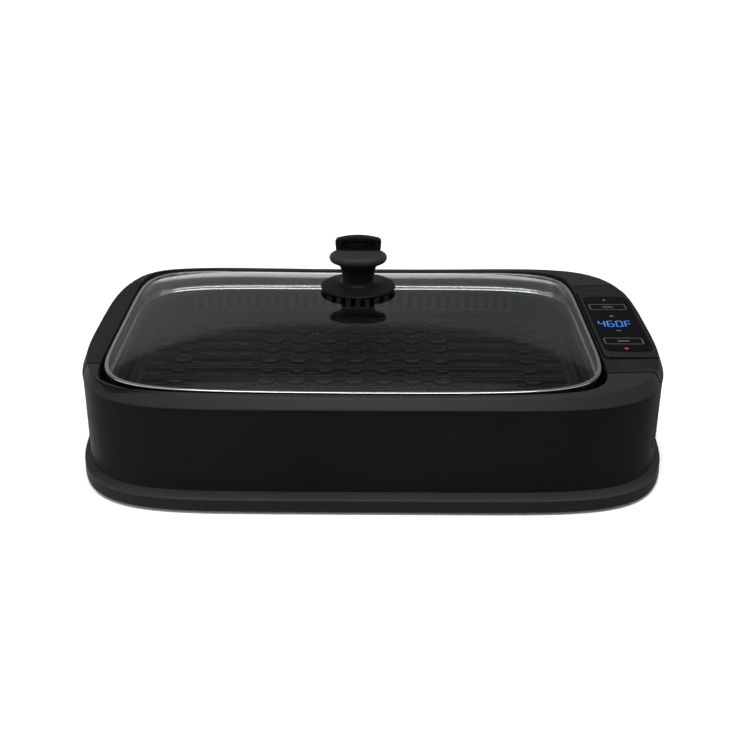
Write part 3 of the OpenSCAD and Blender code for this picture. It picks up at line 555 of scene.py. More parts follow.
def clear_glass(name):
    """Tempered float glass: clear with a faint grey cast, mirroring more towards grazing angles, and only on
    the faces turned to the eye, so that the far side of the pane stays open to look through."""
    mat = bpy.data.materials.new(name)
    mat.use_nodes = True
    tree = mat.node_tree
    tree.nodes.clear()
    coords = add(tree, "ShaderNodeTexCoord")
    clear = add(tree, "ShaderNodeBsdfTransparent", inputs={"Color": srgb("#f6f8f8")})
    mirror = add(tree, "ShaderNodeBsdfGlossy", inputs={"Color": srgb("#ffffff")})
    vary(tree, (noise(tree, coords, 60, 2), "Fac"), mirror.inputs["Roughness"], 0.01, 0.04)
    fresnel = add(tree, "ShaderNodeFresnel", inputs={"IOR": 1.5})
    facing = add(tree, "ShaderNodeMath", {1: (add(tree, "ShaderNodeNewGeometry"), "Backfacing")},
                 {0: 1.0}, operation="SUBTRACT")
    share = add(tree, "ShaderNodeMath", {0: (fresnel, "Fac"), 1: (facing, "Value")}, operation="MULTIPLY")
    mix = add(tree, "ShaderNodeMixShader", {0: (share, "Value"), 1: (clear, "BSDF"), 2: (mirror, "BSDF")})
    add(tree, "ShaderNodeOutputMaterial", {"Surface": (mix, "Shader")})
    return mat


HOUSING_ABS = moulded("satin_black_abs_moulded", "#1a1a1b", 0.50, worn="#222223", ior=1.22)
DECK_ABS = moulded("ribbed_black_abs_moulded", "#111112", 0.50, worn="#171718", ior=1.22)
# The base's copy of the black ABS is lighter than the housing's: painted light on the base's top ledge, which
# the wall above it shades.
BASE_ABS_PAINTED_LIGHT = moulded("base_black_abs_painted_light", "#252527", 0.52, worn="#2e2e2f", ior=1.25)
# The knob's phenolic is split into two copies of one material: a lighter one for the cap, and a darker, matter
# one that paints the shade on the saucer, neck, tab and its bars.
KNOB_RESIN = moulded("knob_phenolic_moulded", "#202021", 0.42, 0.45, worn="#29292a", ior=1.13)
MATT_RESIN_PAINTED_SHADE = moulded("knob_phenolic_matt_painted_shade", "#0a0a0b", 0.5, 0.45, worn="#0e0e0f", ior=1.2)
DUCT_PP = moulded("duct_polypropylene_moulded", "#0a0a0b", 0.50, worn="#101011")
ENAMEL = moulded("well_enamel_baked_on_steel", "#0d0d0e", 0.26, 1.4, 0.012, "#131313", 1.35)
INLET_NYLON = moulded("inlet_nylon_moulded", "#0e0e0f", 0.38)
ACRYLIC = gloss_acrylic("panel_acrylic_polished", "#050506")
SMOKED = gloss_acrylic("display_window_smoked", "#04060c")
GREY_PRINT = lit_print("grey_panel_print", "#5c5e61", "#8a8c90", 0.04)
BLUE_LED = lit_print("blue_led_segments", "#1c4f8c", "#2f78d8", 0.75)
RED_LED = lit_print("red_led_window", "#8a1c26", "#c03040", 0.45)
RIM_STEEL = worked_metal("stainless_band_polished", "#dcdddf", 0.15, 0.5, (1, 1, 0.05))
TRAY_METAL = worked_metal("drip_tray_pressed_aluminium", "#4e4f51", 0.38, 0.9, (0.04, 1, 1))
SCREW_STEEL = worked_metal("screws_zinc_plated_steel", "#b6b8bb", 0.30, 0.4, (1, 1, 0.2))
MOTOR_STEEL = worked_metal("motor_can_drawn_steel", "#9a9c9f", 0.32, 0.5, (1, 1, 0.05))
SHEATH_STEEL = worked_metal("element_sheath_heat_darkened", "#454240", 0.42, 0.7, (0.1, 1, 1))
PIN_BRASS = worked_metal("terminal_pins_nickelled_brass", "#c9b48a", 0.24, 0.3, (1, 1, 0.1))
NONSTICK = nonstick("nonstick_on_cast_aluminium", "#111112")
GLASS = clear_glass("tempered_glass_domed")
SILICONE = rubber("silicone_washer_moulded", "#141414")
FOOT_RUBBER = rubber("foot_rubber_moulded", "#1a1a1a")
STEATITE = ceramic("steatite_pressed", "#cfc8b8")
BOARD = circuit("solder_mask_on_copper", "#0e3d20", "#1c6238")


# ---------------------------------------------------------------- placing pieces on the frame

def place(obj, body, slot, mat, *replaced):
    """Gives a new piece its material and body, and hides the CAD nodes it stands for. The slot is not used."""
    obj.data.materials.clear()
    obj.data.materials.append(mat)
    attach(obj, body)
    if replaced:
        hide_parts(*replaced)
    return obj


def dress(mat, *names):
    """Gives CAD nodes a finish in their own material slots."""
    for name in names:
        for material_slot in nodes[name].material_slots:
            material_slot.material = mat


# ---------------------------------------------------------------- housing

INNER_DROP, INNER_INSET = 1.5, 0.8                 # the inner crease's drop and the inner deck's inset


def wall_at(z):
    """The outer wall's level at a height, on the straight line from its foot to the lip under the crease."""
    head = crease_level(LIP_OUT, CREASE_Z - LIP_DROP)
    return mix_levels(foot_level(0, SHELL_Z), head, (z - SHELL_Z) / (head[5] - SHELL_Z))


def shell_stack(low_z):
    """The housing's closed section from low_z: up the wall, over the crease, bevel and deck, down into the
    well opening, and back inside at the wall's thickness."""
    low = (low_z - SHELL_Z) / (CREASE_Z - SHELL_Z)
    inner_crease = crease_level(WALL_T, CREASE_Z - INNER_DROP)
    inner_low = mix_levels(foot_level(WALL_T, SHELL_Z), inner_crease, low)
    inner_low[5] = low_z
    deck, opening = deck_level(0, DECK_Z), opening_level(0, DECK_Z, DECK_BOW)
    lip_z = CREASE_Z - LIP_DROP
    return [
        (wall_at(low_z), 0.4), (crease_level(LIP_OUT, lip_z), 0.2), (crease_level(0, lip_z), 0.4),
        (crease_level(0, CREASE_Z), 0.9), (deck, 2.4),
        (mix_levels(deck, opening, 0.35), 0), (mix_levels(deck, opening, 0.7), 0),
        (opening, 1.0), (opening_level(0, LINER_TOP), 0.2), (opening_level(RETURN_T, LINER_TOP), 0.2),
        (opening_level(RETURN_T, DECK_Z - WALL_T, DECK_BOW), 0.2),
        (deck_level(INNER_INSET, DECK_Z - WALL_T), 0.2), (inner_crease, 0.2), (inner_low, 0.2),
    ]


def round_ends(grid, from_z):
    """Rounds both end edges of a closed grid: a column at distance d goes in by r - sqrt(r^2 - (r - d)^2)."""
    normal = grid_normals(grid)
    d = np.minimum(SEAM_STEPS, SEAM_ROUND)
    pull = SEAM_ROUND - np.sqrt(SEAM_ROUND ** 2 - (SEAM_ROUND - d) ** 2)
    column = np.zeros(grid.shape[1])
    column[:len(d)] = pull
    column[-len(d):] = pull[::-1]
    fade = np.clip((grid[:, :, 2] - from_z) / 1.5, 0, 1)
    return grid - normal * (column[None, :] * fade)[:, :, None]


def housing_patch(levels, y_first, y_last, turn, middle):
    """The part of the housing between two seams, running anticlockwise. turn is +1 for the front, whose left
    seam is y_first and right seam y_last, and -1 for the rear, whose right seam comes first."""
    first, last = [], []
    for d in SEAM_STEPS:
        if turn > 0:
            first.append(np.pi - side_angle(levels, y_first - d))
            last.append(2 * np.pi + side_angle(levels, y_last - d))
        else:
            first.append(side_angle(levels, y_first + d))
            last.append(np.pi - side_angle(levels, y_last + d))
    share = np.linspace(0, 1, middle)[None, :]
    span = first[-1][:, None] + (last[-1] - first[-1])[:, None] * share
    t = np.column_stack([*first[:-1], *span.T, *last[-2::-1]])
    return round_ends(points_at(levels, t), SEAM_LOW - 1)


def low_strip(side, y_first, y_last):
    """The strip of wall under a side deck, joined flush to the front and rear patches."""
    stack = shell_stack(SHELL_Z)
    top = (SEAM_LOW - GAP - SHELL_Z) / (CREASE_Z - SHELL_Z)
    outer = wall_at(SEAM_LOW - GAP)
    inner = mix_levels(stack[-1][0], stack[-2][0], top)
    inner[5] = outer[5]
    levels = soften([(stack[0][0], 0.4), (outer, 0.4), (inner, 0.3), (stack[-1][0], 0.2)])
    y = np.linspace(y_first, y_last, 60)
    return side_points(levels, side, y if side > 0 else y[::-1])


shell_levels = soften(shell_stack(SHELL_Z))
shell_grids = [
    housing_patch(shell_levels, SEAM_LEFT - GAP, SEAM_RIGHT - GAP, 1, 300),
    housing_patch(shell_levels, SEAM_REAR + GAP, SEAM_REAR + GAP, -1, 300),
    low_strip(1, SEAM_RIGHT - GAP, SEAM_REAR + GAP),
    low_strip(-1, SEAM_LEFT - GAP, SEAM_REAR + GAP),
]
shell = build_mesh("housing_shell", shell_grids, closed_rows=True, closed_cols=False, ends=True)
CUT_GAP, THROUGH, INLET_INNER = 0.25, 12, 4        # clearance round a hole, and how far its cutter runs out
cut(shell,
    block("exhaust_cut", exhaust_lo - [CUT_GAP, THROUGH, CUT_GAP], exhaust_hi + [CUT_GAP, THROUGH, CUT_GAP]),
    block("inlet_cut", inlet_lo - [CUT_GAP, INLET_INNER, CUT_GAP], inlet_hi + [CUT_GAP, THROUGH, CUT_GAP]))
place(shell, "base", "housing_black", HOUSING_ABS, "body_shell")


# ---------------------------------------------------------------- ribbed side decks

def rib_steps(y_first, y_last):
    """Places along Y: eight to a rib, close together in the groove, with the rounded ends' own steps."""
    near = np.array([-0.5, -0.36, -0.2, 0, 0.2, 0.36, 0.5]) * RIB_WIDTH
    half = RIB_PITCH / 2
    first, last = math.ceil((y_first + half) / RIB_PITCH), math.floor((y_last - half) / RIB_PITCH)
    centres = RIB_PITCH * np.arange(first, last + 1)
    inner = np.concatenate([np.concatenate([c + near, [c + half]]) for c in centres])
    inner = inner[(inner > y_first + 1.2) & (inner < y_last - 1.2)]
    return np.concatenate([y_first + SEAM_STEPS, inner, y_last - SEAM_STEPS[::-1]])


def rib_groove(y):
    """Depth of the fine grooves: D cos^2(pi d / w) where d, the distance to the nearest groove, is under
    w / 2."""
    d = np.abs((y / RIB_PITCH + 0.5) % 1.0 - 0.5) * RIB_PITCH
    return np.where(d < RIB_WIDTH / 2, RIB_DEPTH * np.cos(np.pi * d / RIB_WIDTH) ** 2, 0.0)


def ribbed_deck(name, side, y_first, y_last):
    """A side deck: the housing's section between its seams, its top and bevel crossed by fine grooves."""
    levels = soften(shell_stack(SEAM_LOW))
    y = rib_steps(y_first, y_last)
    grid = side_points(levels, side, y if side > 0 else y[::-1])
    normal = grid_normals(grid)
    x_edge = LID_X + side * (LID_A + GAP_SIDES + 2.0)
    top = np.clip((grid[:, :, 2] - CREASE_Z - 0.5) / 2.0, 0, 1)
    top *= np.clip((normal[:, :, 2] - 0.1) / 0.2, 0, 1)
    top *= np.clip(side * (grid[:, :, 0] - x_edge) / 2.0, 0, 1)
    ends = np.clip(np.minimum(grid[:, :, 1] - y_first, y_last - grid[:, :, 1]) / 2.0, 0, 1)
    grid = grid - normal * (rib_groove(grid[:, :, 1]) * top * ends)[:, :, None]
    return build_mesh(name, [round_ends(grid, 0)], closed_rows=True, closed_cols=False, ends=True, sharp=60.0)


def deck_edge(y, inset):
    """The deck's outer edge at y, drawn in: x = a (1 - |y / b|^q)^(1/p)."""
    return (DECK_A - inset) * (1 - np.abs(y / (DECK_B - inset)) ** SIDES_POWER) ** (1 / ENDS_POWER)


def surround_sides(y, inset):
    """The surround's two sides in plan: an inner side, straight with round corners by r - sqrt(r^2 - d^2),
    and the deck's edge outside."""
    low, high = surround_lo[1] + inset, surround_hi[1] - inset
    radius = SURROUND_R - inset
    near = np.clip(radius - np.minimum(y - low, high - y), 0, radius)
    left = surround_lo[0] + inset + radius - np.sqrt(radius ** 2 - near ** 2)
    return left, deck_edge(y, SURROUND_INSET + max(inset, -0.3))


def surround_outline(inset):
    """The surround's plan as points, anticlockwise from above."""
    low, high = surround_lo[1] + inset, surround_hi[1] - inset
    a = np.radians(np.linspace(0, 90, 12))
    bend = (SURROUND_R - inset) * (1 - np.cos(a))
    flat = np.linspace(low + SURROUND_R, high - SURROUND_R, 60)
    y = np.unique(np.concatenate([low + bend, flat, high - bend]))
    left, right = surround_sides(y, inset)
    return np.concatenate([np.stack([right, y], axis=1), np.stack([left, y], axis=1)[::-1]])


left_deck = ribbed_deck("left_ribbed_deck", -1, SEAM_LEFT, SEAM_REAR)
place(left_deck, "base", "deck_black", DECK_ABS, "left_deck")
right_deck = ribbed_deck("right_ribbed_deck", 1, SEAM_RIGHT, SEAM_REAR)
CUT_OVER, CUT_EDGE = 9, 0.01                       # how far a pocket's cutter stands over it, and its edge
surround_line, cut_top = surround_outline(-SURROUND_GAP), surround_hi[2] + CUT_OVER
cut(right_deck, slab("pocket", surround_line, surround_lo[2], cut_top, CUT_EDGE), sharp=60.0)
place(right_deck, "base", "deck_black", DECK_ABS, "right_deck")


# ---------------------------------------------------------------- control panel

def bar_grid(y, left, right, z0, z1, edge):
    """A bar along Y as a closed stack: up its right side, over the rounded top to the left, and down."""
    rows = [(right, z0), (right, z1 - SUPPORT_REACH * edge)]
    arc = [(edge * (1 - math.cos(a)), z1 - edge * (1 - math.sin(a))) for a in np.linspace(0, math.pi / 2, 6)]
    rows += [(right - inset, z) for inset, z in arc]
    shares = np.linspace(0, 1, 9)
    first, last = right - EDGE_END * edge, left + EDGE_END * edge
    rows += [(first + (last - first) * s, z1) for s in shares]
    rows += [(left + inset, z) for inset, z in arc[::-1]]
    rows += [(left, z1 - SUPPORT_REACH * edge), (left, z0)]
    return np.array([at_height(np.column_stack([x, y]), z) for x, z in rows])


def panel_surround():
    """The raised surround, crossed by the decks' fine grooves, with a recess for the gloss panel."""
    y = rib_steps(surround_lo[1], surround_hi[1])
    left, right = surround_sides(y, 0)
    grid = bar_grid(y, left, right, surround_lo[2], surround_hi[2], 0.8)
    ends = np.clip(np.minimum(y - surround_lo[1], surround_hi[1] - y) / 2.0, 0, 1)
    reach = np.clip((grid[:, :, 2] - surround_lo[2] - 0.3) / 0.5, 0, 1) * (rib_groove(y) * ends)[None, :]
    grid = round_ends(grid - grid_normals(grid) * reach[:, :, None], 0)
    obj = build_mesh("panel_surround_ribbed", [grid], closed_rows=True, closed_cols=False, ends=True,
                     sharp=60.0)
    recess = slab("panel_pocket", panel_outline(-0.3), panel_lo[2] - 0.1, panel_hi[2] + CUT_OVER, CUT_EDGE)
    return cut(obj, recess, sharp=60.0)


def panel_outline(inset):
    """The gloss panel's plan: a rounded rectangle whose outer side follows the deck's edge, x = min(x, edge),
    eased by averaging each point with its neighbours."""
    low, high = panel_lo[1] + inset, panel_hi[1] - inset
    width = PANEL_W - 2 * inset
    line = rectangle(width, high - low, PANEL_R - inset, (panel_lo[0] + PANEL_W / 2, (low + high) / 2), 24)
    step = np.roll(line, -1, axis=0) - line
    share = np.linspace(0, 1, 60, endpoint=False)[None, :, None]
    line = (line[:, None, :] + step[:, None, :] * share).reshape(-1, 2)
    run = np.concatenate([[0], np.cumsum(np.linalg.norm(np.diff(line, axis=0), axis=1))])
    even = np.linspace(0, run[-1], 260, endpoint=False)
    line = np.column_stack([np.interp(even, run, line[:, 0]), np.interp(even, run, line[:, 1])])
    line[:, 0] = np.minimum(line[:, 0], deck_edge(line[:, 1], PANEL_INSET + inset))
    for _ in range(6):
        line = (np.roll(line, 1, axis=0) + 2 * line + np.roll(line, -1, axis=0)) / 4
    return line


def prints(name, outlines, z0, height):
    """Flat printed marks: each outline becomes a thin plate standing height above z0."""
    grids = [np.array([at_height(line, z) for z in (z0, z0 + height)]) for line in outlines]
    return build_mesh(name, grids, caps=(True, True))


def ring_marks(name, rings, z0, height):
    """Printed lines that follow closed outlines: (outline, line width) pairs."""
    grids = []
    for outline, width in rings:
        inner = drawn_in(outline, width)
        rows = [(outline, z0), (outline, z0 + height), (inner, z0 + height), (inner, z0)]
        grids.append(np.array([at_height(line, z) for line, z in rows]))
    return build_mesh(name, grids, closed_rows=True)


def bar_outline(x, y, width, length, turn=0.0):
    """A bar with pointed ends, as in a seven-segment display, turned by an angle in degrees."""
    tip = min(width, length) / 2
    a, b = length / 2, width / 2
    pts = np.array([[a, 0], [a - tip, b], [tip - a, b], [-a, 0], [tip - a, -b], [a - tip, -b]])
    c, s = math.cos(math.radians(turn)), math.sin(math.radians(turn))
    return pts @ np.array([[c, s], [-s, c]]) + [x, y]


SEGMENTS = {"4": "bcfg", "6": "acdefg", "0": "abcdef", "F": "aefg"}


def digit_outlines(text, left, middle, width, height, pitch):
    """Seven-segment figures read from the front: bars a to g at their usual places, leaning a little."""
    bar, lean = 1.35, 0.07
    places = {"a": (0, 1, 0), "g": (0, 0, 0), "d": (0, -1, 0), "f": (-1, 0.5, 90), "b": (1, 0.5, 90),
              "e": (-1, -0.5, 90), "c": (1, -0.5, 90)}
    out = []
    for i, figure in enumerate(text):
        for name in SEGMENTS[figure]:
            u, v, turn = places[name]
            x = left + i * pitch + width / 2 + u * (width - bar) / 2 + lean * v * height / 2
            y = middle + v * (height - bar) / 2
            length = (height - bar) / 2 - 0.35 if turn else width - bar - 0.35
            out.append(bar_outline(x, y, bar, length, turn))
    return out


place(panel_surround(), "base", "deck_black", DECK_ABS, "panel_surround")
panel_top = panel_hi[2]
panel = slab("gloss_panel", panel_outline(0), panel_lo[2], panel_top, 0.5)
place(panel, "base", "panel_gloss", ACRYLIC, "control_panel")

PANEL_MID = 236.8
PRINT_T, FILM_T = 0.04, 0.03                       # thickness of a printed mark, and of the display's window
PADS = [(237.2, 40.2), (236.8, -52.2)]
PAD_W, PAD_L, PAD_R, PAD_LINE = 36.5, 15.5, 3.0, 0.55
POWER_Y, PLUS_Y, MINUS_Y, LAMP_Y = 60.5, 14.0, -25.0, -71.0
PLUS_ARM = 1.6                                     # the plus is a bar with a short arm over and under it
pad_lines = [(rectangle(PAD_W, PAD_L, PAD_R, spot, 8), PAD_LINE) for spot in PADS]
place(ring_marks("touch_pad_outlines", pad_lines, panel_top, PRINT_T), "base", "panel_gloss", GREY_PRINT)
symbols = [rectangle(11, 1.5, 0.6, spot, 5) for spot in PADS]
symbols.append(rectangle(2.6, 2.6, 1.25, (PANEL_MID, POWER_Y), 8))
symbols.append(rectangle(4.6, 1.1, 0.4, (PANEL_MID, PLUS_Y), 4))
symbols += [rectangle(1.1, 1.6, 0.3, (PANEL_MID, PLUS_Y + arm), 4) for arm in (PLUS_ARM, -PLUS_ARM)]
symbols.append(rectangle(5.2, 1.2, 0.4, (PANEL_MID, MINUS_Y), 4))
place(prints("touch_pad_symbols", symbols, panel_top, PRINT_T), "base", "panel_gloss", GREY_PRINT)

WINDOW_W, WINDOW_L, WINDOW_Y = 38.5, 25.0, -7.5
FIGURE_X, FIGURE_Y = 220.0, -7.0
FIGURE_W, FIGURE_H, FIGURE_PITCH = 6.9, 16.5, 8.6
window_line = rectangle(WINDOW_W, WINDOW_L, 1.5, (PANEL_MID, WINDOW_Y), 6)
window = slab("display_window", window_line, panel_top, panel_top + FILM_T, 0.01)
place(window, "base", "display", SMOKED)
figures = digit_outlines("460F", FIGURE_X, FIGURE_Y, FIGURE_W, FIGURE_H, FIGURE_PITCH)
place(prints("display_figures", figures, panel_top + FILM_T, PRINT_T), "base", "display", BLUE_LED)
lamp = prints("power_lamp", [rectangle(3.6, 4.2, 1.7, (PANEL_MID - 0.6, LAMP_Y), 8)], panel_top, PRINT_T)
place(lamp, "base", "display", RED_LED)


# ---------------------------------------------------------------- base

SPIGOT_GAP, SPIGOT_T, SPIGOT_H = 0.2, 2.2, 6       # the rim that stands up inside the housing's foot
SCREW_HEAD_R, SCREW_HOLE_R, SCREW_SINK = 3.2, 1.8, 1.6
spigot_out, spigot_in = WALL_T + SPIGOT_GAP, WALL_T + SPIGOT_GAP + SPIGOT_T
spigot_top = SHELL_Z + SPIGOT_H
# An open stack starts and ends at the edges of its closing faces, inside the flat of its floor.
base_stack = [
    (base_level(12, BASE_Z), 0), (base_level(0, BASE_Z), 0.8), (base_level(0, SHELL_Z), 1.3),
    (foot_level(spigot_out, SHELL_Z), 0.2), (foot_level(spigot_out, spigot_top), 0.3),
    (foot_level(spigot_in, spigot_top), 0.3), (foot_level(spigot_in, SHELL_Z - BASE_T), 0.2),
    (base_level(BASE_T, SHELL_Z - BASE_T), 0.3), (base_level(BASE_T, BASE_Z + BASE_T), 0.8),
    (base_level(15, BASE_Z + BASE_T), 0),
]
base = build_mesh("base_shell", [full_turn(soften(base_stack, closed=False))], caps=(True, True))
sink_low, sink_z, sink_high = BASE_Z - 1, BASE_Z + SCREW_SINK, BASE_Z + BASE_T + 1
screw_sink = [(0, sink_low), (SCREW_HEAD_R, sink_low), (SCREW_HEAD_R, sink_z), (SCREW_HOLE_R, sink_z),
              (SCREW_HOLE_R, sink_high), (0, sink_high)]
SCREW_REACH = 8                                    # over a screw's width and under the space between two
screw_spots = enumerate(middles("base_screws", SCREW_REACH))
cut(base, *[lathe(f"screw_sink_{i}", screw_sink, spot, 40) for i, spot in screw_spots])
# The base takes the lighter ABS copy: painted light on its ledge.
place(base, "base", "housing_black", BASE_ABS_PAINTED_LIGHT, "base_tray")


# ---------------------------------------------------------------- well, tray and plate

vent_lo, vent_hi = box_mm("vent_grille")
tray_mid, tray_half = (tray_lo + tray_hi) / 2, (tray_hi - tray_lo) / 2
liner_in, liner_out = -WELL_INSET, LINER_T - WELL_INSET
under_floor, under_ledge = WELL_FLOOR_Z - LINER_T, LEDGE_Z - LINER_T
liner_stack = [
    (lid_level(-12, under_floor), 0), (lid_level(liner_out, under_floor), 3),
    (lid_level(liner_out, under_ledge), 0.4), (opening_level(LINER_T, under_ledge), 0.8),
    (opening_level(LINER_T, LINER_TOP), 0.3), (opening_level(0, LINER_TOP), 0.3),
    (opening_level(0, LEDGE_Z), 0.8), (lid_level(liner_in, LEDGE_Z), 1.5),
    (lid_level(liner_in, WELL_FLOOR_Z), 4), (lid_level(-24, WELL_FLOOR_Z), 0),
]
shelf_out, shelf_in = 0.5 - WELL_INSET, -WELL_INSET - SHELF_W
shelf_stack = [(lid_level(shelf_out, SHELF_Z - SHELF_T), 0.2), (lid_level(shelf_out, SHELF_Z), 0.2),
               (lid_level(shelf_in, SHELF_Z), 0.5), (lid_level(shelf_in, SHELF_Z - SHELF_T), 0.5)]
liner = build_mesh("well_liner_drawn", [full_turn(soften(liner_stack, closed=False))], caps=(True, True))
VENT_SIDE, VENT_LOW, VENT_HIGH = 6, 3, 1.2         # how far the grille overlaps the wall round its window
WELL_BACK, WELL_OVER = 60, 20                      # the window's cutter runs out through the rear wall
window_lo = [vent_lo[0] + VENT_SIDE, LID_Y + WELL_BACK, vent_lo[2] + VENT_LOW]
window_hi = [vent_hi[0] - VENT_SIDE, LID_Y + LID_B + WELL_OVER, vent_hi[2] - VENT_HIGH]
cut(liner, block("vent_window", window_lo, window_hi))
place(liner, "base", "well_black", ENAMEL, "well_liner")
shelf = build_mesh("well_shelf", [full_turn(soften(shelf_stack), 288)], closed_rows=True)
place(shelf, "base", "well_black", ENAMEL)


TRAY_POWER, TRAY_T = 7.0, 1.2
TRAY_LIP, TRAY_FOOT = 1.5, 4                       # the tray's wall draws in from its lip to its floor


def tray_level(grow, z):
    """The drip tray's outline, grown by grow."""
    a, b = tray_half[0] + grow, tray_half[1] + grow
    return level(a, b, TRAY_POWER, TRAY_POWER, tray_mid[0], tray_mid[1], z)


tray_z, tray_top = tray_lo[2], tray_hi[2]
tray_stack = [
    (tray_level(-14, tray_z), 0), (tray_level(-TRAY_FOOT, tray_z), 2),
    (tray_level(-TRAY_LIP, tray_top - TRAY_T), 0.3), (tray_level(0, tray_top - TRAY_T), 0.4),
    (tray_level(0, tray_top), 0.4), (tray_level(-TRAY_LIP - TRAY_T, tray_top), 0.8),
    (tray_level(-TRAY_FOOT - TRAY_T, tray_z + TRAY_T), 2), (tray_level(-14, tray_z + TRAY_T), 0),
]
tray = build_mesh("drip_tray_pressed", [full_turn(soften(tray_stack, closed=False), 320)], caps=(True, True))
place(tray, "tray", "tray_metal", TRAY_METAL, "drip_tray")


def eased_copy(node, name, width_mm, segments, sharp):
    """A welded copy of a CAD node whose sharp edges a Bevel modifier rounds, as casting rounds them."""
    mesh = nodes[node].data.copy()
    if mesh.attributes.get("custom_normal"):
        mesh.attributes.remove(mesh.attributes["custom_normal"])
    bm = bmesh.new()
    bm.from_mesh(mesh)
    bmesh.ops.remove_doubles(bm, verts=bm.verts, dist=0.01 * MM)
    bmesh.ops.dissolve_limit(bm, angle_limit=math.radians(0.5), verts=bm.verts, edges=bm.edges)
    bm.to_mesh(mesh)
    bm.free()
    mesh.shade_smooth()
    mesh.set_sharp_from_angle(angle=math.radians(sharp))
    obj = bpy.data.objects.new(name, mesh)
    bpy.context.scene.collection.objects.link(obj)
    bevel = obj.modifiers.new("cast_edges", "BEVEL")
    bevel.width = width_mm * MM
    bevel.segments = segments
    bevel.limit_method = "ANGLE"
    bevel.angle_limit = math.radians(35)
    bevel.harden_normals = True
    return obj


plate = eased_copy("grill_plate", "grill_plate_cast", 0.55, 2, 30)
place(plate, "plate", "nonstick", NONSTICK, "grill_plate")


# ---------------------------------------------------------------- lid

def hem_level(z):
    """The inner edge of the band's rolled lower edge, which reaches further in at the front and rear."""
    a, b = LID_A - BAND_T - HEM_X, LID_B - BAND_T - HEM_Y
    return level(a, b, LID_POWER, LID_POWER, LID_X, LID_Y, z)


glass_seat = GLASS_EDGE - 0.1
rim_stack = [
    (lid_level(0, RIM_Z), 0.4), (rim_level(0, RIM_TOP), 1.1), (rim_level(-BAND_T - LIP_W, RIM_TOP), 0.35),
    (rim_level(-BAND_T - LIP_W, RIM_TOP - LIP_T), 0.2), (rim_level(-BAND_T, RIM_TOP - LIP_T), 0.1),
    (rim_level(-BAND_T, glass_seat), 0.1), (rim_level(-BAND_T - LIP_W, glass_seat), 0.2),
    (rim_level(-BAND_T - LIP_W, glass_seat - LIP_T), 0.2), (rim_level(-BAND_T, glass_seat - LIP_T), 0.3),
    (lid_level(-BAND_T, RIM_Z + HEM_H), 0.6), (hem_level(RIM_Z + HEM_H), 2.6), (hem_level(RIM_Z), 0.4),
]
rim = build_mesh("lid_band", [full_turn(soften(rim_stack))], closed_rows=True)
place(rim, "lid", "rim_steel", RIM_STEEL, "lid_rim")


def dome_level(s, drop):
    """The dome at share s of the way out: z = edge + thickness - drop + H (1 - s^p), over an outline whose
    exponent grows outwards as c + (lid's - c) s^2."""
    power = CORE_POWER + (LID_POWER - CORE_POWER) * s * s
    z = GLASS_EDGE + GLASS_T - drop + DOME_H * (1 - s ** DOME_POWER)
    return level((LID_A - DOME_INSET) * s, (LID_B - DOME_INSET) * s, power, power, LID_X, LID_Y, z, RIM_BOW)


shares = np.linspace(0, 1, 30)
glass_edge = [(rim_level(-BAND_T - 0.2, z), 0.6) for z in (GLASS_EDGE, GLASS_EDGE + GLASS_T)]
dome_stack = [(dome_level(s, GLASS_T), 0) for s in shares[:-1]] + [(dome_level(1.0, GLASS_T), 2.0)]
dome_stack += glass_edge + [(dome_level(1.0, 0), 2.0)] + [(dome_level(s, 0), 0) for s in shares[-2::-1]]
glass = build_mesh("lid_glass_domed", [full_turn(soften(dome_stack, closed=False))], sharp=60.0)
KNOB_HOLE_R = 4.0
cut(glass, post("screw_hole", KNOB_X, KNOB_Y, GLASS_EDGE - 5, GLASS_EDGE + 60, KNOB_HOLE_R), sharp=60.0)
place(glass, "lid", "lid_glass", GLASS, "lid_glass")

neck = NECK_TOP - SAUCER_Z
saucer_r = (saucer_hi[0] - saucer_lo[0]) / 2
knob_points = [(0, 0), (saucer_r - 3, 0), (saucer_r, 2.2), (saucer_r - 0.8, 3.5), (24, 4.9), (17.4, 6.2),
               (16, 9.5), (16.2, neck - 10), (18.2, neck - 4), (21.5, neck), (0, neck)]
knob_radii = [0, 1.2, 0.8, 0.8, 3.0, 2.0, 2.5, 3.0, 2.0, 0.5, 0]
knob_profile = round_profile(knob_points, knob_radii) + [0, SAUCER_Z]
saucer = lathe("knob_saucer_and_neck", knob_profile, (KNOB_X, KNOB_Y))
# The saucer and neck take the darker phenolic copy: painted shade under the cap.
place(saucer, "lid", "knob_black", MATT_RESIN_PAINTED_SHADE, "knob_base")


def cap_grid():
    """The knob's oval cap: stadium outlines whose inset follows a rounded edge profile up to a top that is
    dished a little. The profile is (inset, share of the cap's height)."""
    profile = [(6, 0), (3.2, 0.06), (1.6, 0.16), (0.6, 0.3), (0.1, 0.47), (0, 0.6), (0.4, 0.75), (1.2, 0.87),
               (2.4, 0.96), (3.8, 1), (5.2, 1), (6.8, 0.97), (9.0, 0.94), (12.0, 0.93)]
    rows = []
    for inset, share in profile:
        line = rectangle(2 * (CAP_A - inset), 2 * (CAP_B - inset), CAP_B - inset - 0.01, (KNOB_X, KNOB_Y), 26)
        rows.append(at_height(line, NECK_TOP + CAP_T * share))
    return np.array(rows)


def upright(grid, y_front):
    """Stands a plate drawn flat on its edge, its top facing the front: (u, v, w) goes to (u, -w, v)."""
    return np.stack([grid[:, :, 0], y_front - grid[:, :, 2], grid[:, :, 1]], axis=2)


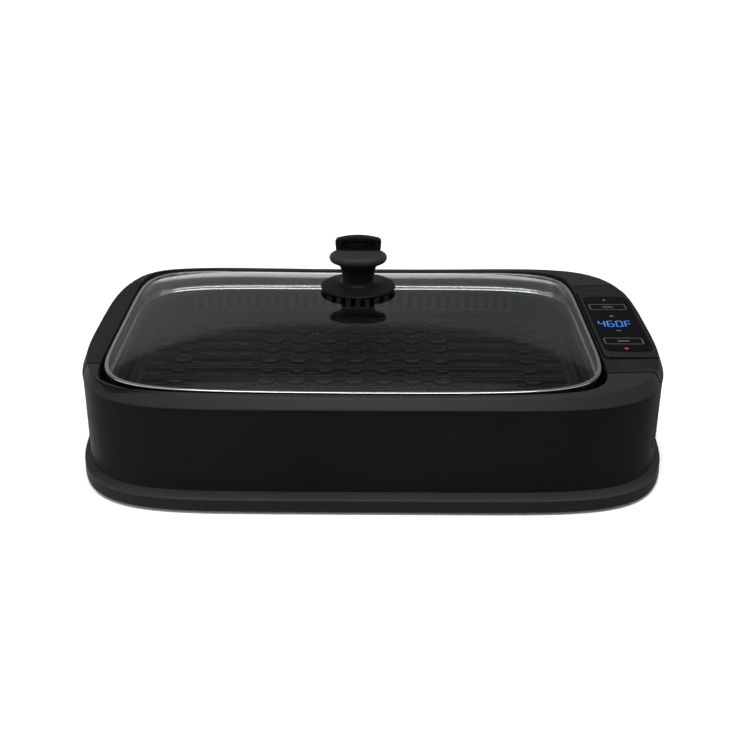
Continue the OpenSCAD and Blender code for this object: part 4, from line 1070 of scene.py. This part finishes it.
def tab_outline(inset):
    """The tab seen from the front: sides that spread a little upwards, round shoulders and an arched top."""
    height = grip_hi[2] - NECK_TOP - inset
    half = TAB_W / 2 - 0.15 - inset
    arch_r, shoulder = 76.0, 4.0 - 0.4 * inset
    low = CAP_T - 1.5
    x = np.linspace(half - shoulder * 0.75, -half + shoulder * 0.75, 24)
    top = height - arch_r + np.sqrt(arch_r ** 2 - x ** 2)
    a = np.radians(np.linspace(0, 75, 9))
    centre_z = top[0] - shoulder * math.sin(a[-1])
    right = np.stack([half - shoulder + shoulder * np.cos(a), centre_z + shoulder * np.sin(a)], axis=1)
    left = right[::-1] * [-1, 1]
    foot = np.array([[half - 0.9, low]])
    line = np.concatenate([foot, right, np.stack([x[1:-1], top[1:-1]], axis=1), left, foot * [-1, 1]])
    return line + [KNOB_X, NECK_TOP]


def tab_grid(y_front, thickness, edge):
    """The tab as a plate whose front and back edges are both quarter rounds."""
    arc = [(edge * (1 - math.cos(a)), edge * (1 - math.sin(a))) for a in np.linspace(0, math.pi / 2, 6)]
    support = SUPPORT_REACH * edge
    rows = [(EDGE_END * edge, 0), *arc[::-1], (0, support), (0, thickness - support)]
    rows += [(inset, thickness - depth) for inset, depth in arc] + [(EDGE_END * edge, thickness)]
    flat = np.array([at_height(tab_outline(inset), depth) for inset, depth in rows])
    return upright(flat, y_front + thickness)


tab_front = KNOB_Y + CAP_B - 3.5 - TAB_T
cap = build_mesh("knob_cap", [cap_grid()], caps=(True, True))
place(cap, "lid", "knob_black", KNOB_RESIN, "knob_grip")
tab = build_mesh("knob_tab", [tab_grid(tab_front, TAB_T, 1.4)], caps=(True, True))
tab_h = grip_hi[2] - NECK_TOP - CAP_T
recess_middle = (KNOB_X, NECK_TOP + CAP_T + tab_h / 2 - 2)
recess_line = rectangle(TAB_W - 13, tab_h - 5, 2.5, recess_middle, 8)
RECESS_D = 2.6
recess = upright(slab_grid(recess_line, 0, 8, 0.01), tab_front + RECESS_D)
cut(tab, build_mesh("tab_recess", [recess], caps=(True, True)))
# The tab and its bars take the darker phenolic copy: painted shade on their front.
place(tab, "lid", "knob_black", MATT_RESIN_PAINTED_SHADE)
bar_z = NECK_TOP + CAP_T + 2.4 + (tab_h - 8.4) / 2 * np.arange(3)
bar_back = tab_front + RECESS_D + 0.1
tab_bars = [upright(slab_grid(rectangle(width, 1.2, 0.5, (KNOB_X, z), 5), 0, 1.7, 0.4), bar_back)
            for z, width in zip(bar_z, (8, 16, 8))]
place(build_mesh("knob_tab_bars", tab_bars, caps=(True, True)), "lid", "knob_black", MATT_RESIN_PAINTED_SHADE)


# ---------------------------------------------------------------- finishes of the CAD nodes that stay

dress(FOOT_RUBBER, "rubber_feet")
dress(SCREW_STEEL, "base_screws", "knob_screw", "plate_sensor", "element_clips", "fan_shaft")
dress(SMOKED, "display_module")
dress(BOARD, "touch_board", "power_board")
dress(INLET_NYLON, "power_inlet")
dress(HOUSING_ABS, "exhaust_grille")
# The vent grille takes the lighter ABS copy too: painted light on its slats.
dress(BASE_ABS_PAINTED_LIGHT, "vent_grille")
dress(STEATITE, "socket_block", "terminal_block")
dress(DUCT_PP, "fan_housing", "fan_cover", "fan_wheel")
dress(MOTOR_STEEL, "fan_motor")
dress(SHEATH_STEEL, "heating_element")
dress(PIN_BRASS, "terminal_pins")
dress(SILICONE, "knob_washer", "screw_washer")


# ---------------------------------------------------------------- studio

def area_light(name, size, watts, place_at, look_at):
    """A white rectangular softbox, in metres, turned to face a point."""
    lamp = bpy.data.lights.new(name, "AREA")
    lamp.shape = "RECTANGLE"
    lamp.size, lamp.size_y = size
    lamp.energy = watts
    obj = bpy.data.objects.new(name, lamp)
    obj.location = place_at
    obj.rotation_euler = (Vector(look_at) - Vector(place_at)).to_track_quat("-Z", "Y").to_euler()
    bpy.context.scene.collection.objects.link(obj)
    return obj


# Each stop of the surroundings: the angle t in degrees, and how bright they are there.
SKY_STOPS = [(-180, 1.0), (-155, 0.80), (-130, 0.15), (-60, 0.16), (-8, 0.16), (30, 0.14), (48, 0.80),
             (100, 0.80), (115, 0.14), (151, 0.12), (155, 0.26), (174, 0.26), (178, 1.0), (180, 1.0)]
SKY_RIGHT = 0.72                                   # the surroundings dim to this share towards the right


def sky():
    """Studio surroundings as strips along X, by the angle t = atan2(z, -y) round that axis: the front horizon
    is at 0, the zenith at 90 and the rear horizon at 180 degrees. A pale backdrop fills the rear up to its
    top edge, the ceiling over it is dark, and a broad overhead panel hangs towards the front. All of it dims
    towards the right, from 1 at x = -0.05 to SKY_RIGHT at x = 0.2 of the direction."""
    world = bpy.context.scene.world or bpy.data.worlds.new("studio")
    bpy.context.scene.world = world
    world.use_nodes = True
    tree = world.node_tree
    tree.nodes.clear()
    coords = add(tree, "ShaderNodeTexCoord")
    parts = add(tree, "ShaderNodeSeparateXYZ", {"Vector": (coords, "Generated")})
    front = add(tree, "ShaderNodeMath", {0: (parts, "Y")}, {1: -1.0}, operation="MULTIPLY")
    angle = add(tree, "ShaderNodeMath", {0: (parts, "Z"), 1: (front, "Value")}, operation="ARCTAN2")
    turn = add(tree, "ShaderNodeMapRange", {"Value": (angle, "Value")},
               {"From Min": -math.pi, "From Max": math.pi, "To Min": 0.0, "To Max": 1.0})
    ramp = add(tree, "ShaderNodeValToRGB", {"Fac": (turn, "Result")})
    elements = ramp.color_ramp.elements
    while len(elements) < len(SKY_STOPS):
        elements.new(0.5)
    for element, (degrees, value) in zip(elements, SKY_STOPS):
        element.position = (degrees + 180) / 360
        element.color = (value, value, value, 1)
    falloff = add(tree, "ShaderNodeMapRange", {"Value": (parts, "X")},
                  {"From Min": -0.05, "From Max": 0.2, "To Min": 1.0, "To Max": SKY_RIGHT})
    back = add(tree, "ShaderNodeBackground", {"Color": (ramp, "Color"), "Strength": (falloff, "Result")})
    add(tree, "ShaderNodeOutputWorld", {"Surface": (back, "Background")})


def studio():
    """A plain pale floor, a small overhead softbox, two low side softboxes that nothing mirrors, and an even
    top light. The floor isn't mirrored and throws no light back."""
    half = 14.0
    mesh = bpy.data.meshes.new("studio_floor")
    corners = [(-half, -half, 0), (half, -half, 0), (half, half, 0), (-half, half, 0)]
    mesh.from_pydata(corners, [], [(0, 1, 2, 3)])
    floor = bpy.data.objects.new("studio_floor", mesh)
    mat, tree, shader, coords = new_material("pale_studio_paper", "#f7f7f7", 0.9)
    vary(tree, (noise(tree, coords, 400), "Fac"), shader.inputs["Roughness"], 0.85, 0.95)
    mesh.materials.append(mat)
    floor.visible_glossy = floor.visible_diffuse = False
    bpy.context.scene.collection.objects.link(floor)
    top_light = bpy.data.lights.new("studio_top_light", "SUN")
    top_light.energy = 3.0
    top_light.angle = math.radians(40)
    top = bpy.data.objects.new("studio_top_light", top_light)
    top.rotation_euler = (math.radians(8), 0, 0)
    top.visible_glossy = False
    bpy.context.scene.collection.objects.link(top)
    side_size = (0.5, 0.8)
    left = area_light("studio_left_softbox", side_size, 25, (-1.6, -0.7, 0.10), (-0.1, 0, 0.06))
    right = area_light("studio_right_softbox", side_size, 16, (1.7, -0.6, 0.10), (0.1, 0, 0.06))
    left.visible_glossy = right.visible_glossy = False
    over = area_light("studio_overhead_softbox", (0.5, 0.24), 2.3, (0, -0.20, 0.62), (0, -0.12, 0.1))
    sky()


def front_camera():
    """A camera in front: 23 degrees up, 1.332 m from its target, with a small turn and roll, moved a little
    left, and a 62.3 mm lens."""
    elevation, distance, turn, roll = math.radians(23), 1.332, 0.002329, -0.004037
    aim, slide = Vector((0, 0.05638, 0.03749)), Vector((-0.0046, 0, 0))
    spot = aim + distance * Vector((0, -math.cos(elevation), math.sin(elevation)))
    forward = (aim - spot).normalized()
    right = Vector((1, 0, 0))
    up = right.cross(forward)
    across = right * math.cos(roll) - up * math.sin(roll)
    upward = right * math.sin(roll) + up * math.cos(roll)
    swing = Matrix.Rotation(turn, 3, "Z")
    axes = Matrix([swing @ across, swing @ upward, swing @ -forward]).transposed()
    cam = bpy.data.cameras.new("front_camera")
    cam.lens, cam.sensor_width = 62.27, 36.0
    cam.clip_start, cam.clip_end = 0.05, 60
    obj = bpy.data.objects.new("front_camera", cam)
    obj.matrix_world = Matrix.Translation(swing @ spot + slide) @ axes.to_4x4()
    bpy.context.scene.collection.objects.link(obj)
    bpy.context.scene.camera = obj


studio()
front_camera()
bpy.context.scene.view_settings.view_transform = "Standard"
